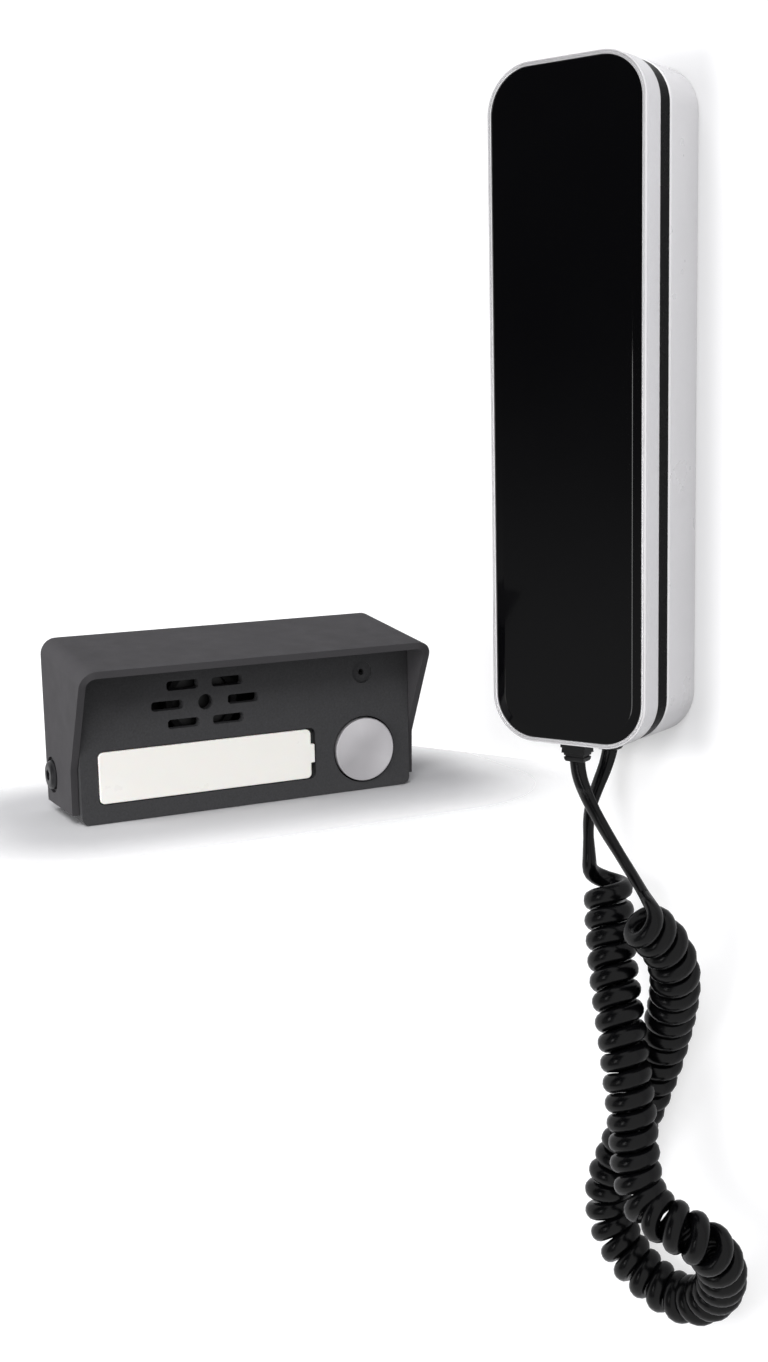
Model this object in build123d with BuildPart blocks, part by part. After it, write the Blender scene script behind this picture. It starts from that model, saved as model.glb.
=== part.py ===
from build123d import *
import os
from math import atan2, cos, degrees, pi, radians, sin, tan

import numpy as np

os.makedirs("parts", exist_ok=True)

# Door intercom set: a wall handset on its base, its curly cord, and a door station.
# Millimetres. X runs to the right along the wall, +Y into the wall and Z up.
# The origin is the middle of the base's back face, which lies on the wall.

# Outline shared by the base and the handset
set_width = 54.8
set_height = 210.0
corner_radius = 15.0

# Layers, counted from the wall outwards
base_depth = 19.0
strip_depth = 6.0
lip_depth = 10.0
handset_back = base_depth
lip_start = base_depth + strip_depth
face_depth = lip_start + lip_depth

# Handset front
frame_wall = 1.5
rim_round = 0.7
panel_thickness = 2.5
panel_gap = 0.1
panel_bevel_width = 2.9
panel_bevel_depth = 0.45
web_thickness = 1.5
web_depth = face_depth - panel_thickness - web_thickness

# Handset rear shell, with an ear and a mouth boss that lie in pockets of the base
strip_inset = 0.7
shell_floor = 2.0
rim_height = 2.5
rim_gap = 0.15
rim_wall = 1.2
ear_from_top = 33.0
ear_height = set_height / 2 - ear_from_top
ear_diameter = 38.0
ear_depth = 9.0
mouth_from_bottom = 27.0
mouth_height = mouth_from_bottom - set_height / 2
mouth_width = 36.0
mouth_tall = 24.0
mouth_radius = 11.0
mouth_depth = 8.0
boss_wall = 1.8
boss_edge = 1.0
lift_angle = 35.0

# Handset screws and their posts
handset_screw_heights = (34.0, -44.0)
handset_post_diameter = 6.4
handset_screw_pad = 1.6
screw_head_diameter = 5.6
screw_head_height = 1.9
screw_shank_diameter = 2.8
screw_hole_diameter = 3.0
screw_recess = 2.3
screw_length = 8.0

# Handset inner pieces
earpiece_diameter = 30.0
earpiece_height = 6.2
microphone_diameter = 9.7
microphone_height = 6.6
boot_wall = 1.6
boot_floor = 1.0
pcb_thickness = 1.2
handset_pcb_width = 28.0
handset_pcb_tall = 46.0
handset_pcb_centre = -9.0
handset_pcb_depth = 27.0

# Unlock button on the inner side of the handset
unlock_height = -12.0
unlock_width = 12.0
unlock_tall = 8.0
unlock_radius = 3.4
unlock_proud = 1.2
unlock_travel = 0.8
unlock_edge = 0.4
button_gap = 0.35
button_flange = 1.2
button_flange_lip = 1.1
switch_side = 6.0
switch_plunger_diameter = 3.4
switch_plunger_height = 0.8
press_gap = 0.05

# Modular plugs and jacks at both ends of the cord
jack_width = 10.6
jack_tall = 7.8
jack_length = 10.4
jack_end_wall = 1.3
plug_nose_width = 7.6
plug_nose_tall = 5.8
plug_nose_length = 10.0
plug_gap = 0.15
plug_collar_width = 9.0
plug_collar_tall = 6.4
plug_collar_length = 3.4
plug_neck_width = 7.2
plug_neck_tall = 5.2
plug_neck_length = 2.8
handset_plug_depth = 28.2
base_plug_depth = 6.0

# Base
base_wall = 2.0
base_round = 0.8
pocket_gap = 1.0
pocket_end_gap = 0.5
pocket_wall = 1.5
back_thickness = 2.0
back_gap = 0.1
base_pcb_width = 42.0
base_pcb_tall = 58.0
base_pcb_centre = -2.0
base_pcb_depth = 4.0
base_pcb_thickness = 1.6
capacitor_diameter = 5.0
capacitor_places = [(-16.0, 18.0), (-16.0, 10.0), (16.0, 20.0)]
chip_width = 5.0
chip_tall = 7.0
chip_places = [(16.0, 4.0), (16.0, -6.0)]
component_height = 5.0
pcb_post_diameter = 5.0
pcb_post_spacing_x = 34.0
pcb_post_spacing_z = 48.0
base_screw_spacing_x = 36.0
base_screw_end_room = 58.0
base_screw_spacing_z = set_height - 2 * base_screw_end_room
base_screw_centre = -3.0
base_post_diameter = 6.4
base_screw_recess = 1.2
base_screw_head_height = 1.1
base_screw_length = 9.0
screw_end_gap = 1.0
wall_hole_diameter = 4.5
wall_hole_spacing = 83.5
wall_screw_access = 9.0
wire_hole_diameter = 12.0
wire_hole_height = -56.0
sound_slot_width = 14.0
sound_slot_tall = 1.6
sound_slot_pitch = 3.6
sound_slot_centre = -29.5
sound_slot_count = 3

# Hook plunger, its switch, the buzzer and the terminals
plunger_height = 18.0
plunger_diameter = 8.0
plunger_gap = 0.3
plunger_travel = 3.0
plunger_flange_diameter = 11.0
plunger_flange_thickness = 1.2
plunger_stop_gap = 0.3
hook_switch_width = 12.8
hook_switch_tall = 5.8
hook_switch_height = 5.2
hook_lever_width = 11.0
hook_lever_tall = 3.6
hook_lever_thickness = 0.4
buzzer_height = -18.0
buzzer_diameter = 22.0
buzzer_thickness = 7.0
buzzer_hole_diameter = 3.0
terminal_width = 20.0
terminal_tall = 8.0
terminal_height = 7.5
terminal_count = 4
terminal_centre = 4.0

# Curly cord: size of the wire, and of the curl that it makes
wire_width = 5.4
wire_thickness = 3.6
curl_wire_diameter = 5.4
curl_wire_sides = 6
curl_radius = 5.8
curl_turns = 49.24
curl_first_angle = -90.0
curl_lead = 9.0
curl_bend_room = 1.2
curl_step = 0.1
# Control points of the curl's middle line: down in front, out to the right, back, and up behind
curl_route = [
    (4, -15, -149), (10, -20, -169), (15, -26, -184), (20, -31, -205.5), (24.5, -33, -229.5),
    (26, -34, -248.5), (32, -34.5, -264.5), (45, -34.5, -269), (53.5, -27.5, -277.5), (51, -13.5, -293.5),
    (38.5, -10, -305), (22, -9.5, -305), (6.5, -10, -297.5), (0, -10, -279.5), (5.5, -10, -259),
    (14.5, -10, -240), (23, -10, -220), (31, -15, -198.5), (36, -22.5, -181.5), (36.5, -26.5, -170.5),
    (34, -31, -162), (28.5, -41, -156),
]
# Free stretches, from each plug to the curl, between their straight ends
handset_tail_middle = [(3.8, -29.3, -127.6), (10.9, -31.4, -133.7), (19.9, -32.6, -137.4)]
base_tail_middle = [(-2.0, -7.0, -125.3), (-4.6, -9.4, -132.0)]
handset_tail_end_run = 8.0
base_tail_end_run = 7.0

# Door station: place of its bottom front edge, and its turn from the wall's direction
station_place = (-75.2, -100.9, -119.5)
station_turn = 62.42
station_width = 110.4
station_depth = 28.8
station_height = 51.5
station_wall = 2.2
station_front_wall = 3.5
station_back_thickness = 2.5
station_edge_round = 2.4
station_shoulder_round = 3.4

# Rain hood
hood_thickness = 2.2
hood_gap = 0.15
hood_reach = 13.2
hood_drop = 5.5
hood_shoulder_round = 5.0
hood_skirt = 3.0
hood_step_height = 17.0
hood_step_back = 2.0
hood_foot_back = 2.6

# Call button
call_from_right = 16.3
call_x = station_width / 2 - call_from_right
call_z = 13.3
call_diameter = 20.6
call_gap = 0.5
call_proud = 1.0
call_edge = 0.4
call_travel = 0.9
call_lug_width = 25.0
call_lug_tall = 8.0
call_lug_thickness = 1.2
call_stem_diameter = 5.0
call_switch_height = 4.3

# Name plate, between the left edge and the call button
name_from_left = 5.7
name_to_call = 8.5
name_width = station_width / 2 + call_x - call_diameter / 2 - name_to_call - name_from_left
name_x = name_from_left + name_width / 2 - station_width / 2
name_z = 13.9
name_tall = 15.8
name_radius = 1.6
name_gap = 0.35
name_recess = 2.0
name_proud = 0.3
name_card_thickness = 0.4
name_card_margin = 1.5
name_tab_width = 1.3
name_tab_tall = 6.0
name_tab_thickness = 1.0
name_recess_margin = 1.7

# Grille of the speaker: a round hole with slots about it
grille_x = name_x
grille_z = 34.0
grille_hole_diameter = 4.8
grille_slot_length = 10.2
grille_slot_tall = 2.9
grille_row_pitch = 5.9
grille_near_x = 7.3
grille_far_x = 12.4

# Microphone of the door station
mic_x = call_x
mic_z = 38.4
mic_recess_diameter = 7.0
mic_recess_depth = 0.8
mic_hole_diameter = 2.0
mic_diameter = 6.0
mic_height = 3.4
mic_boot_wall = 1.4
mic_boot_floor = 0.8

# Speaker, board, terminals and fixings of the door station
speaker_diameter = 23.0
speaker_height = 8.0
speaker_magnet_diameter = 14.0
speaker_rim_height = 3.0
gasket_thickness = 1.5
gasket_width = 2.0
station_pcb_end_gap = 4.0
station_pcb_width = station_width - 2 * station_wall - 2 * station_pcb_end_gap
station_pcb_tall = 34.0
station_pcb_centre = 27.0
station_pcb_depth = 14.0
station_pcb_thickness = 1.6
station_post_diameter = 5.0
station_post_x = (station_pcb_width - station_post_diameter) / 2
station_post_heights = (28.0, 41.0)
station_terminal_x = -22.0
station_terminal_z = 30.0
station_hole_spacing = 83.5
station_hole_z = 20.0
station_cable_diameter = 12.0
station_cable_x = 10.0
station_cable_z = 30.0
side_screw_depth = 22.8
side_screw_z = 12.0
side_screw_head = 8.0
side_screw_dome = 2.3
side_screw_shank = 3.6
side_screw_hole = 3.8
side_screw_length = 7.5
side_screw_recess = 9.6
side_screw_recess_depth = 1.0
side_screw_edge = 0.8
side_screw_socket = 3.4
side_screw_socket_depth = 1.4
ear_block_width = 5.0
ear_block_depth = 6.8
ear_block_tall = 9.0

wall = Plane.XZ
panel_width = set_width - 2 * frame_wall - 2 * panel_gap
panel_height = set_height - 2 * frame_wall - 2 * panel_gap
panel_radius = corner_radius - frame_wall - panel_gap


# Handset: glossy front panel with a ground bevel round its edge
with BuildPart() as front_panel:
    with BuildSketch(wall.offset(face_depth - panel_thickness)):
        RectangleRounded(panel_width, panel_height, panel_radius)
    extrude(amount=panel_thickness - panel_bevel_depth)
    with BuildSketch(wall.offset(face_depth - panel_bevel_depth)):
        RectangleRounded(panel_width, panel_height, panel_radius)
    with BuildSketch(wall.offset(face_depth)):
        RectangleRounded(
            panel_width - 2 * panel_bevel_width,
            panel_height - 2 * panel_bevel_width,
            panel_radius - panel_bevel_width,
        )
    loft()
front_panel.part.label = "front_panel"
export_step(front_panel.part, "parts/front_panel.step")


# Handset: silver frame, a tray that the panel is glued into, with two screw posts behind its web
post_end = handset_back + screw_recess + handset_screw_pad
with BuildPart() as handset_frame:
    with BuildSketch(wall.offset(lip_start)):
        RectangleRounded(set_width, set_height, corner_radius)
    extrude(amount=lip_depth)
    fillet(handset_frame.faces().sort_by(Axis.Y)[0].edges(), rim_round)
    with BuildSketch(wall.offset(face_depth - panel_thickness)):
        RectangleRounded(
            panel_width + 2 * panel_gap, panel_height + 2 * panel_gap, panel_radius + panel_gap
        )
    extrude(amount=panel_thickness, mode=Mode.SUBTRACT)
    with BuildSketch(wall.offset(lip_start)):
        RectangleRounded(
            set_width - 2 * frame_wall, set_height - 2 * frame_wall, corner_radius - frame_wall
        )
    extrude(amount=web_depth - lip_start, mode=Mode.SUBTRACT)
    with BuildSketch(wall.offset(post_end)):
        with Locations(*[(0, height) for height in handset_screw_heights]):
            Circle(handset_post_diameter / 2)
    extrude(amount=web_depth - post_end)
    with BuildSketch(wall.offset(post_end)):
        with Locations(*[(0, height) for height in handset_screw_heights]):
            Circle(screw_hole_diameter / 2)
    extrude(amount=web_depth - post_end, mode=Mode.SUBTRACT)
    # Mouth of the jack in the bottom wall, and a window for its back in the web
    with BuildSketch(Plane.XY.offset(-set_height / 2)):
        with Locations((0, -handset_plug_depth)):
            Rectangle(plug_collar_width + 2 * plug_gap, plug_collar_tall + 2 * plug_gap)
    extrude(amount=frame_wall, mode=Mode.SUBTRACT)
    with BuildSketch(Plane.XY.offset(frame_wall - set_height / 2)):
        with Locations((0, -handset_plug_depth)):
            Rectangle(jack_width + 2 * plug_gap, jack_tall + 2 * plug_gap)
    extrude(amount=jack_length + plug_gap, mode=Mode.SUBTRACT)
handset_frame.part.label = "handset_frame"
export_step(handset_frame.part, "parts/handset_frame.step")


# Handset: black rear shell, seen as the dark strip, with its two hollow bosses
strip_width = set_width - 2 * strip_inset
strip_height = set_height - 2 * strip_inset
strip_radius = corner_radius - strip_inset
inside_width = set_width - 2 * frame_wall - 2 * rim_gap
inside_height = set_height - 2 * frame_wall - 2 * rim_gap
inside_radius = corner_radius - frame_wall - rim_gap
with BuildPart() as handset_rear_shell:
    with BuildSketch(wall.offset(handset_back)):
        RectangleRounded(strip_width, strip_height, strip_radius)
    extrude(amount=strip_depth)
    with BuildSketch(wall.offset(lip_start)):
        RectangleRounded(inside_width, inside_height, inside_radius)
    extrude(amount=rim_height)
    with BuildSketch(wall.offset(handset_back - ear_depth)):
        with Locations((0, ear_height)):
            Circle(ear_diameter / 2)
    extrude(amount=ear_depth)
    with BuildSketch(wall.offset(handset_back - mouth_depth)):
        with Locations((0, mouth_height)):
            RectangleRounded(mouth_width, mouth_tall, mouth_radius)
    extrude(amount=mouth_depth)
    boss_ends = handset_rear_shell.faces().filter_by(Axis.Y).group_by(Axis.Y)
    chamfer(boss_ends[-1].edges() + boss_ends[-2].edges(), boss_edge)
    # Hollow inside, with the floor left behind
    with BuildSketch(wall.offset(handset_back + shell_floor)):
        RectangleRounded(
            inside_width - 2 * rim_wall, inside_height - 2 * rim_wall, inside_radius - rim_wall
        )
    extrude(amount=strip_depth - shell_floor + rim_height, mode=Mode.SUBTRACT)
    with BuildSketch(wall.offset(handset_back - ear_depth + boss_wall)):
        with Locations((0, ear_height)):
            Circle(ear_diameter / 2 - boss_wall)
    extrude(amount=ear_depth - boss_wall + shell_floor, mode=Mode.SUBTRACT)
    with BuildSketch(wall.offset(handset_back - mouth_depth + boss_wall)):
        with Locations((0, mouth_height)):
            RectangleRounded(
                mouth_width - 2 * boss_wall, mouth_tall - 2 * boss_wall, mouth_radius - boss_wall
            )
    extrude(amount=mouth_depth - boss_wall + shell_floor, mode=Mode.SUBTRACT)
    # Sound holes
    with BuildSketch(wall.offset(handset_back - ear_depth)):
        with Locations((0, ear_height)):
            Circle(1.3)
            with PolarLocations(7.5, 6):
                Circle(1.3)
    extrude(amount=boss_wall, mode=Mode.SUBTRACT)
    with BuildSketch(wall.offset(handset_back - mouth_depth)):
        with Locations((0, mouth_height)):
            Circle(1.2)
    extrude(amount=boss_wall, mode=Mode.SUBTRACT)
    # Pads, recesses and holes of the screws
    with BuildSketch(wall.offset(handset_back + shell_floor)):
        with Locations(*[(0, height) for height in handset_screw_heights]):
            Circle(handset_post_diameter / 2 + 1)
    extrude(amount=screw_recess + handset_screw_pad - shell_floor)
    with BuildSketch(wall.offset(handset_back)):
        with Locations(*[(0, height) for height in handset_screw_heights]):
            Circle(screw_head_diameter / 2 + 0.4)
    extrude(amount=screw_recess, mode=Mode.SUBTRACT)
    with BuildSketch(wall.offset(handset_back)):
        with Locations(*[(0, height) for height in handset_screw_heights]):
            Circle(screw_hole_diameter / 2)
    extrude(amount=screw_recess + handset_screw_pad, mode=Mode.SUBTRACT)
    # Window of the unlock button
    with BuildSketch(wall.offset(handset_back)):
        with Locations((0, unlock_height)):
            RectangleRounded(
                unlock_width + 2 * button_gap, unlock_tall + 2 * button_gap, unlock_radius + button_gap
            )
    extrude(amount=shell_floor, mode=Mode.SUBTRACT)
    # Room for the jack in the rim and the wall behind it
    jack_room = handset_plug_depth + jack_tall / 2 + plug_gap - handset_back - shell_floor
    with BuildSketch(wall.offset(handset_back + shell_floor)):
        with Locations((0, -set_height / 2 + frame_wall + rim_wall)):
            Rectangle(jack_width + 2 * plug_gap, 2 * rim_wall + 2 * rim_gap)
    extrude(amount=jack_room, mode=Mode.SUBTRACT)
handset_rear_shell.part.label = "handset_rear_shell"
export_step(handset_rear_shell.part, "parts/handset_rear_shell.step")


# Earpiece capsule on the floor of the ear boss
earpiece_start = handset_back - ear_depth + boss_wall
with BuildPart() as earpiece_capsule:
    with BuildSketch(wall.offset(earpiece_start)):
        with Locations((0, ear_height)):
            Circle(earpiece_diameter / 2)
    extrude(amount=earpiece_height)
    with BuildSketch(wall.offset(earpiece_start + earpiece_height)):
        with Locations((0, ear_height)):
            Circle(earpiece_diameter / 3)
    extrude(amount=1.6)
earpiece_capsule.part.label = "earpiece_capsule"
export_step(earpiece_capsule.part, "parts/earpiece_capsule.step")


# Microphone of the handset in its rubber boot, on the floor of the mouth boss
boot_start = handset_back - mouth_depth + boss_wall
with BuildPart() as microphone_boot:
    with BuildSketch(wall.offset(boot_start)):
        with Locations((0, mouth_height)):
            Circle(microphone_diameter / 2 + press_gap + boot_wall)
    extrude(amount=boot_floor + microphone_height)
    with BuildSketch(wall.offset(boot_start + boot_floor)):
        with Locations((0, mouth_height)):
            Circle(microphone_diameter / 2 + press_gap)
    extrude(amount=microphone_height, mode=Mode.SUBTRACT)
    with BuildSketch(wall.offset(boot_start)):
        with Locations((0, mouth_height)):
            Circle(1.2)
    extrude(amount=boot_floor, mode=Mode.SUBTRACT)
microphone_boot.part.label = "microphone_boot"
export_step(microphone_boot.part, "parts/microphone_boot.step")

with BuildPart() as handset_microphone:
    with BuildSketch(wall.offset(boot_start + boot_floor)):
        with Locations((0, mouth_height)):
            Circle(microphone_diameter / 2)
    extrude(amount=microphone_height)
handset_microphone.part.label = "handset_microphone"
export_step(handset_microphone.part, "parts/handset_microphone.step")


# Handset screws: pan heads with a cross slot
with BuildPart() as handset_screws:
    head_top = handset_back + screw_recess
    with BuildSketch(wall.offset(head_top - screw_head_height)):
        with Locations(*[(0, height) for height in handset_screw_heights]):
            Circle(screw_head_diameter / 2)
    extrude(amount=screw_head_height)
    with BuildSketch(wall.offset(head_top)):
        with Locations(*[(0, height) for height in handset_screw_heights]):
            Circle(screw_shank_diameter / 2)
    extrude(amount=screw_length)
    with BuildSketch(wall.offset(head_top - screw_head_height)):
        with Locations(*[(0, height) for height in handset_screw_heights]):
            Rectangle(3.2, 0.7)
            Rectangle(0.7, 3.2)
    extrude(amount=1.0, mode=Mode.SUBTRACT)
handset_screws.part.label = "handset_screws"
export_step(handset_screws.part, "parts/handset_screws.step")


# Unlock button, kept in its window by a flange
flange_start = handset_back + shell_floor
with BuildPart() as unlock_button:
    with BuildSketch(wall.offset(handset_back - unlock_proud)):
        with Locations((0, unlock_height)):
            RectangleRounded(unlock_width, unlock_tall, unlock_radius)
    extrude(amount=unlock_proud + shell_floor)
    chamfer(unlock_button.faces().sort_by(Axis.Y)[-1].edges(), unlock_edge)
    with BuildSketch(wall.offset(flange_start)):
        with Locations((0, unlock_height)):
            RectangleRounded(
                unlock_width + 2 * button_flange_lip,
                unlock_tall + 2 * button_flange_lip,
                unlock_radius + button_flange_lip,
            )
    extrude(amount=button_flange)
unlock_button.part.label = "unlock_button"
export_step(unlock_button.part, "parts/unlock_button.step")

unlock_switch_top = flange_start + button_flange + unlock_travel + press_gap
with BuildPart() as unlock_switch:
    with BuildSketch(wall.offset(unlock_switch_top + switch_plunger_height)):
        with Locations((0, unlock_height)):
            Rectangle(switch_side, switch_side)
    extrude(amount=handset_pcb_depth - unlock_switch_top - switch_plunger_height)
    with BuildSketch(wall.offset(unlock_switch_top)):
        with Locations((0, unlock_height)):
            Circle(switch_plunger_diameter / 2)
    extrude(amount=switch_plunger_height)
unlock_switch.part.label = "unlock_switch"
export_step(unlock_switch.part, "parts/unlock_switch.step")

# Handset board, held off the front web by two spacers of its own
with BuildPart() as handset_pcb:
    with BuildSketch(wall.offset(handset_pcb_depth)):
        with Locations((0, handset_pcb_centre)):
            Rectangle(handset_pcb_width, handset_pcb_tall)
    extrude(amount=pcb_thickness)
    with BuildSketch(wall.offset(handset_pcb_depth + pcb_thickness)):
        with Locations((0, handset_pcb_centre)):
            with GridLocations(handset_pcb_width - 6, handset_pcb_tall - 6, 2, 2):
                Circle(2)
    extrude(amount=web_depth - handset_pcb_depth - pcb_thickness)
handset_pcb.part.label = "handset_pcb"
export_step(handset_pcb.part, "parts/handset_pcb.step")


# Jacks and plugs, the same at both ends of the cord
bottom_wall_inner = -set_height / 2 + frame_wall
base_bottom_inner = -set_height / 2 + base_wall
with BuildPart() as handset_jack:
    with BuildSketch(Plane.XY.offset(bottom_wall_inner)):
        with Locations((0, -handset_plug_depth)):
            Rectangle(jack_width, jack_tall)
    extrude(amount=jack_length)
    with BuildSketch(Plane.XY.offset(bottom_wall_inner)):
        with Locations((0, -handset_plug_depth)):
            Rectangle(plug_nose_width + 2 * plug_gap, plug_nose_tall + 2 * plug_gap)
    extrude(amount=jack_length - jack_end_wall, mode=Mode.SUBTRACT)
handset_jack.part.label = "handset_jack"
export_step(handset_jack.part, "parts/handset_jack.step")

with BuildPart() as base_jack:
    with BuildSketch(Plane.XY.offset(base_bottom_inner)):
        with Locations((0, -base_plug_depth)):
            Rectangle(jack_width, jack_tall)
    extrude(amount=jack_length)
    with BuildSketch(Plane.XY.offset(base_bottom_inner)):
        with Locations((0, -base_plug_depth)):
            Rectangle(plug_nose_width + 2 * plug_gap, plug_nose_tall + 2 * plug_gap)
    extrude(amount=jack_length - jack_end_wall, mode=Mode.SUBTRACT)
base_jack.part.label = "base_jack"
export_step(base_jack.part, "parts/base_jack.step")

plug_end = -set_height / 2 - plug_collar_length - plug_neck_length
with BuildPart() as handset_plug:
    with BuildSketch(Plane.XY.offset(-set_height / 2)):
        with Locations((0, -handset_plug_depth)):
            Rectangle(plug_nose_width, plug_nose_tall)
    extrude(amount=plug_nose_length)
    with BuildSketch(Plane.XY.offset(-set_height / 2)):
        with Locations((0, -handset_plug_depth)):
            Rectangle(plug_collar_width, plug_collar_tall)
    extrude(amount=-plug_collar_length)
    with BuildSketch(Plane.XY.offset(-set_height / 2 - plug_collar_length)):
        with Locations((0, -handset_plug_depth)):
            Rectangle(plug_neck_width, plug_neck_tall)
    extrude(amount=-plug_neck_length)
    chamfer(handset_plug.edges().filter_by(Axis.Z).group_by(Axis.Z)[0], 0.8)
handset_plug.part.label = "handset_plug"
export_step(handset_plug.part, "parts/handset_plug.step")

with BuildPart() as base_plug:
    with BuildSketch(Plane.XY.offset(-set_height / 2)):
        with Locations((0, -base_plug_depth)):
            Rectangle(plug_nose_width, plug_nose_tall)
    extrude(amount=plug_nose_length)
    with BuildSketch(Plane.XY.offset(-set_height / 2)):
        with Locations((0, -base_plug_depth)):
            Rectangle(plug_collar_width, plug_collar_tall)
    extrude(amount=-plug_collar_length)
    with BuildSketch(Plane.XY.offset(-set_height / 2 - plug_collar_length)):
        with Locations((0, -base_plug_depth)):
            Rectangle(plug_neck_width, plug_neck_tall)
    extrude(amount=-plug_neck_length)
    chamfer(base_plug.edges().filter_by(Axis.Z).group_by(Axis.Z)[0], 0.8)
base_plug.part.label = "base_plug"
export_step(base_plug.part, "parts/base_plug.step")


# Base: silver shell with pockets for the two bosses, drawn long upwards for the way off the hook
pocket_rise = tan(radians(lift_angle))
ear_rise = ear_depth * pocket_rise
mouth_rise = mouth_depth * pocket_rise
ear_floor = handset_back - ear_depth - pocket_end_gap
mouth_floor = handset_back - mouth_depth - pocket_end_gap
ear_slot_radius = ear_diameter / 2 + pocket_gap
mouth_slot_width = mouth_width + 2 * pocket_gap
mouth_slot_tall = mouth_tall + 2 * pocket_gap + mouth_rise
mouth_slot_radius = mouth_radius + pocket_gap
cavity_depth = base_depth - base_wall
with BuildPart() as base_shell:
    with BuildSketch(wall):
        RectangleRounded(set_width, set_height, corner_radius)
    extrude(amount=base_depth)
    fillet(base_shell.faces().sort_by(Axis.Y)[0].edges(), base_round)
    with BuildSketch(wall):
        RectangleRounded(
            set_width - 2 * base_wall, set_height - 2 * base_wall, corner_radius - base_wall
        )
    extrude(amount=cavity_depth, mode=Mode.SUBTRACT)
    # Walls of the pockets
    with BuildSketch(wall.offset(ear_floor - pocket_wall)):
        with Locations((0, ear_height + ear_rise / 2)):
            SlotCenterToCenter(ear_rise, 2 * (ear_slot_radius + pocket_wall), rotation=90)
    extrude(amount=cavity_depth - ear_floor + pocket_wall)
    with BuildSketch(wall.offset(mouth_floor - pocket_wall)):
        with Locations((0, mouth_height + mouth_rise / 2)):
            RectangleRounded(
                mouth_slot_width + 2 * pocket_wall,
                mouth_slot_tall + 2 * pocket_wall,
                mouth_slot_radius + pocket_wall,
            )
    extrude(amount=cavity_depth - mouth_floor + pocket_wall)
    # Pad behind the shallow recess that the unlock button lies in
    recess_width = unlock_width + 4 * pocket_gap
    recess_tall = unlock_tall + 4 * pocket_gap + unlock_proud * pocket_rise
    recess_depth = unlock_proud + pocket_end_gap
    recess_centre = unlock_height + unlock_proud * pocket_rise / 2
    with BuildSketch(wall.offset(base_depth - recess_depth - base_wall)):
        with Locations((0, recess_centre)):
            RectangleRounded(recess_width + 2 * pocket_wall, recess_tall + 2 * pocket_wall, unlock_radius)
    extrude(amount=recess_depth)
    # Screw posts
    with BuildSketch(wall.offset(back_thickness)):
        with Locations((0, base_screw_centre)):
            with GridLocations(base_screw_spacing_x, base_screw_spacing_z, 2, 2):
                Circle(base_post_diameter / 2)
    extrude(amount=cavity_depth - back_thickness)
    # Pockets, recess, plunger hole, sound slots, screw holes and the way in to the wall screws
    with BuildSketch(wall.offset(ear_floor)):
        with Locations((0, ear_height + ear_rise / 2)):
            SlotCenterToCenter(ear_rise, 2 * ear_slot_radius, rotation=90)
    extrude(amount=base_depth - ear_floor, mode=Mode.SUBTRACT)
    with BuildSketch(wall.offset(mouth_floor)):
        with Locations((0, mouth_height + mouth_rise / 2)):
            RectangleRounded(mouth_slot_width, mouth_slot_tall, mouth_slot_radius)
    extrude(amount=base_depth - mouth_floor, mode=Mode.SUBTRACT)
    with BuildSketch(wall.offset(base_depth - recess_depth)):
        with Locations((0, recess_centre)):
            RectangleRounded(recess_width, recess_tall, unlock_radius)
    extrude(amount=recess_depth, mode=Mode.SUBTRACT)
    with BuildSketch(wall.offset(cavity_depth)):
        with Locations((0, plunger_height)):
            Circle(plunger_diameter / 2 + plunger_gap)
        with Locations((0, sound_slot_centre)):
            with GridLocations(1, sound_slot_pitch, 1, sound_slot_count):
                SlotOverall(sound_slot_width, sound_slot_tall)
        with GridLocations(1, wall_hole_spacing, 1, 2):
            Circle(wall_screw_access / 2)
    extrude(amount=base_wall, mode=Mode.SUBTRACT)
    with BuildSketch(wall.offset(back_thickness)):
        with Locations((0, base_screw_centre)):
            with GridLocations(base_screw_spacing_x, base_screw_spacing_z, 2, 2):
                Circle(screw_hole_diameter / 2)
    extrude(amount=base_screw_length + screw_end_gap, mode=Mode.SUBTRACT)
    # Mouth of the jack in the bottom wall
    with BuildSketch(Plane.XY.offset(-set_height / 2)):
        with Locations((0, -base_plug_depth)):
            Rectangle(plug_collar_width + 2 * plug_gap, plug_collar_tall + 2 * plug_gap)
    extrude(amount=base_wall, mode=Mode.SUBTRACT)
base_shell.part.label = "base_shell"
export_step(base_shell.part, "parts/base_shell.step")


# Base: back plate with wall screw holes, the wire hole and posts for the board
with BuildPart() as base_back:
    with BuildSketch(wall):
        RectangleRounded(
            set_width - 2 * (base_wall + back_gap),
            set_height - 2 * (base_wall + back_gap),
            corner_radius - base_wall - back_gap,
        )
        with GridLocations(1, wall_hole_spacing, 1, 2):
            Circle(wall_hole_diameter / 2, mode=Mode.SUBTRACT)
        with Locations((0, wire_hole_height)):
            Circle(wire_hole_diameter / 2, mode=Mode.SUBTRACT)
        with Locations((0, base_screw_centre)):
            with GridLocations(base_screw_spacing_x, base_screw_spacing_z, 2, 2):
                Circle(screw_hole_diameter / 2, mode=Mode.SUBTRACT)
    extrude(amount=back_thickness)
    with BuildSketch(wall):
        with Locations((0, base_screw_centre)):
            with GridLocations(base_screw_spacing_x, base_screw_spacing_z, 2, 2):
                Circle(screw_head_diameter / 2 + 0.2)
    extrude(amount=base_screw_recess, mode=Mode.SUBTRACT)
    with BuildSketch(wall.offset(back_thickness)):
        with Locations((0, base_pcb_centre)):
            with GridLocations(pcb_post_spacing_x, pcb_post_spacing_z, 2, 2):
                Circle(pcb_post_diameter / 2)
    extrude(amount=base_pcb_depth - back_thickness)
base_back.part.label = "base_back"
export_step(base_back.part, "parts/base_back.step")

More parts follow.
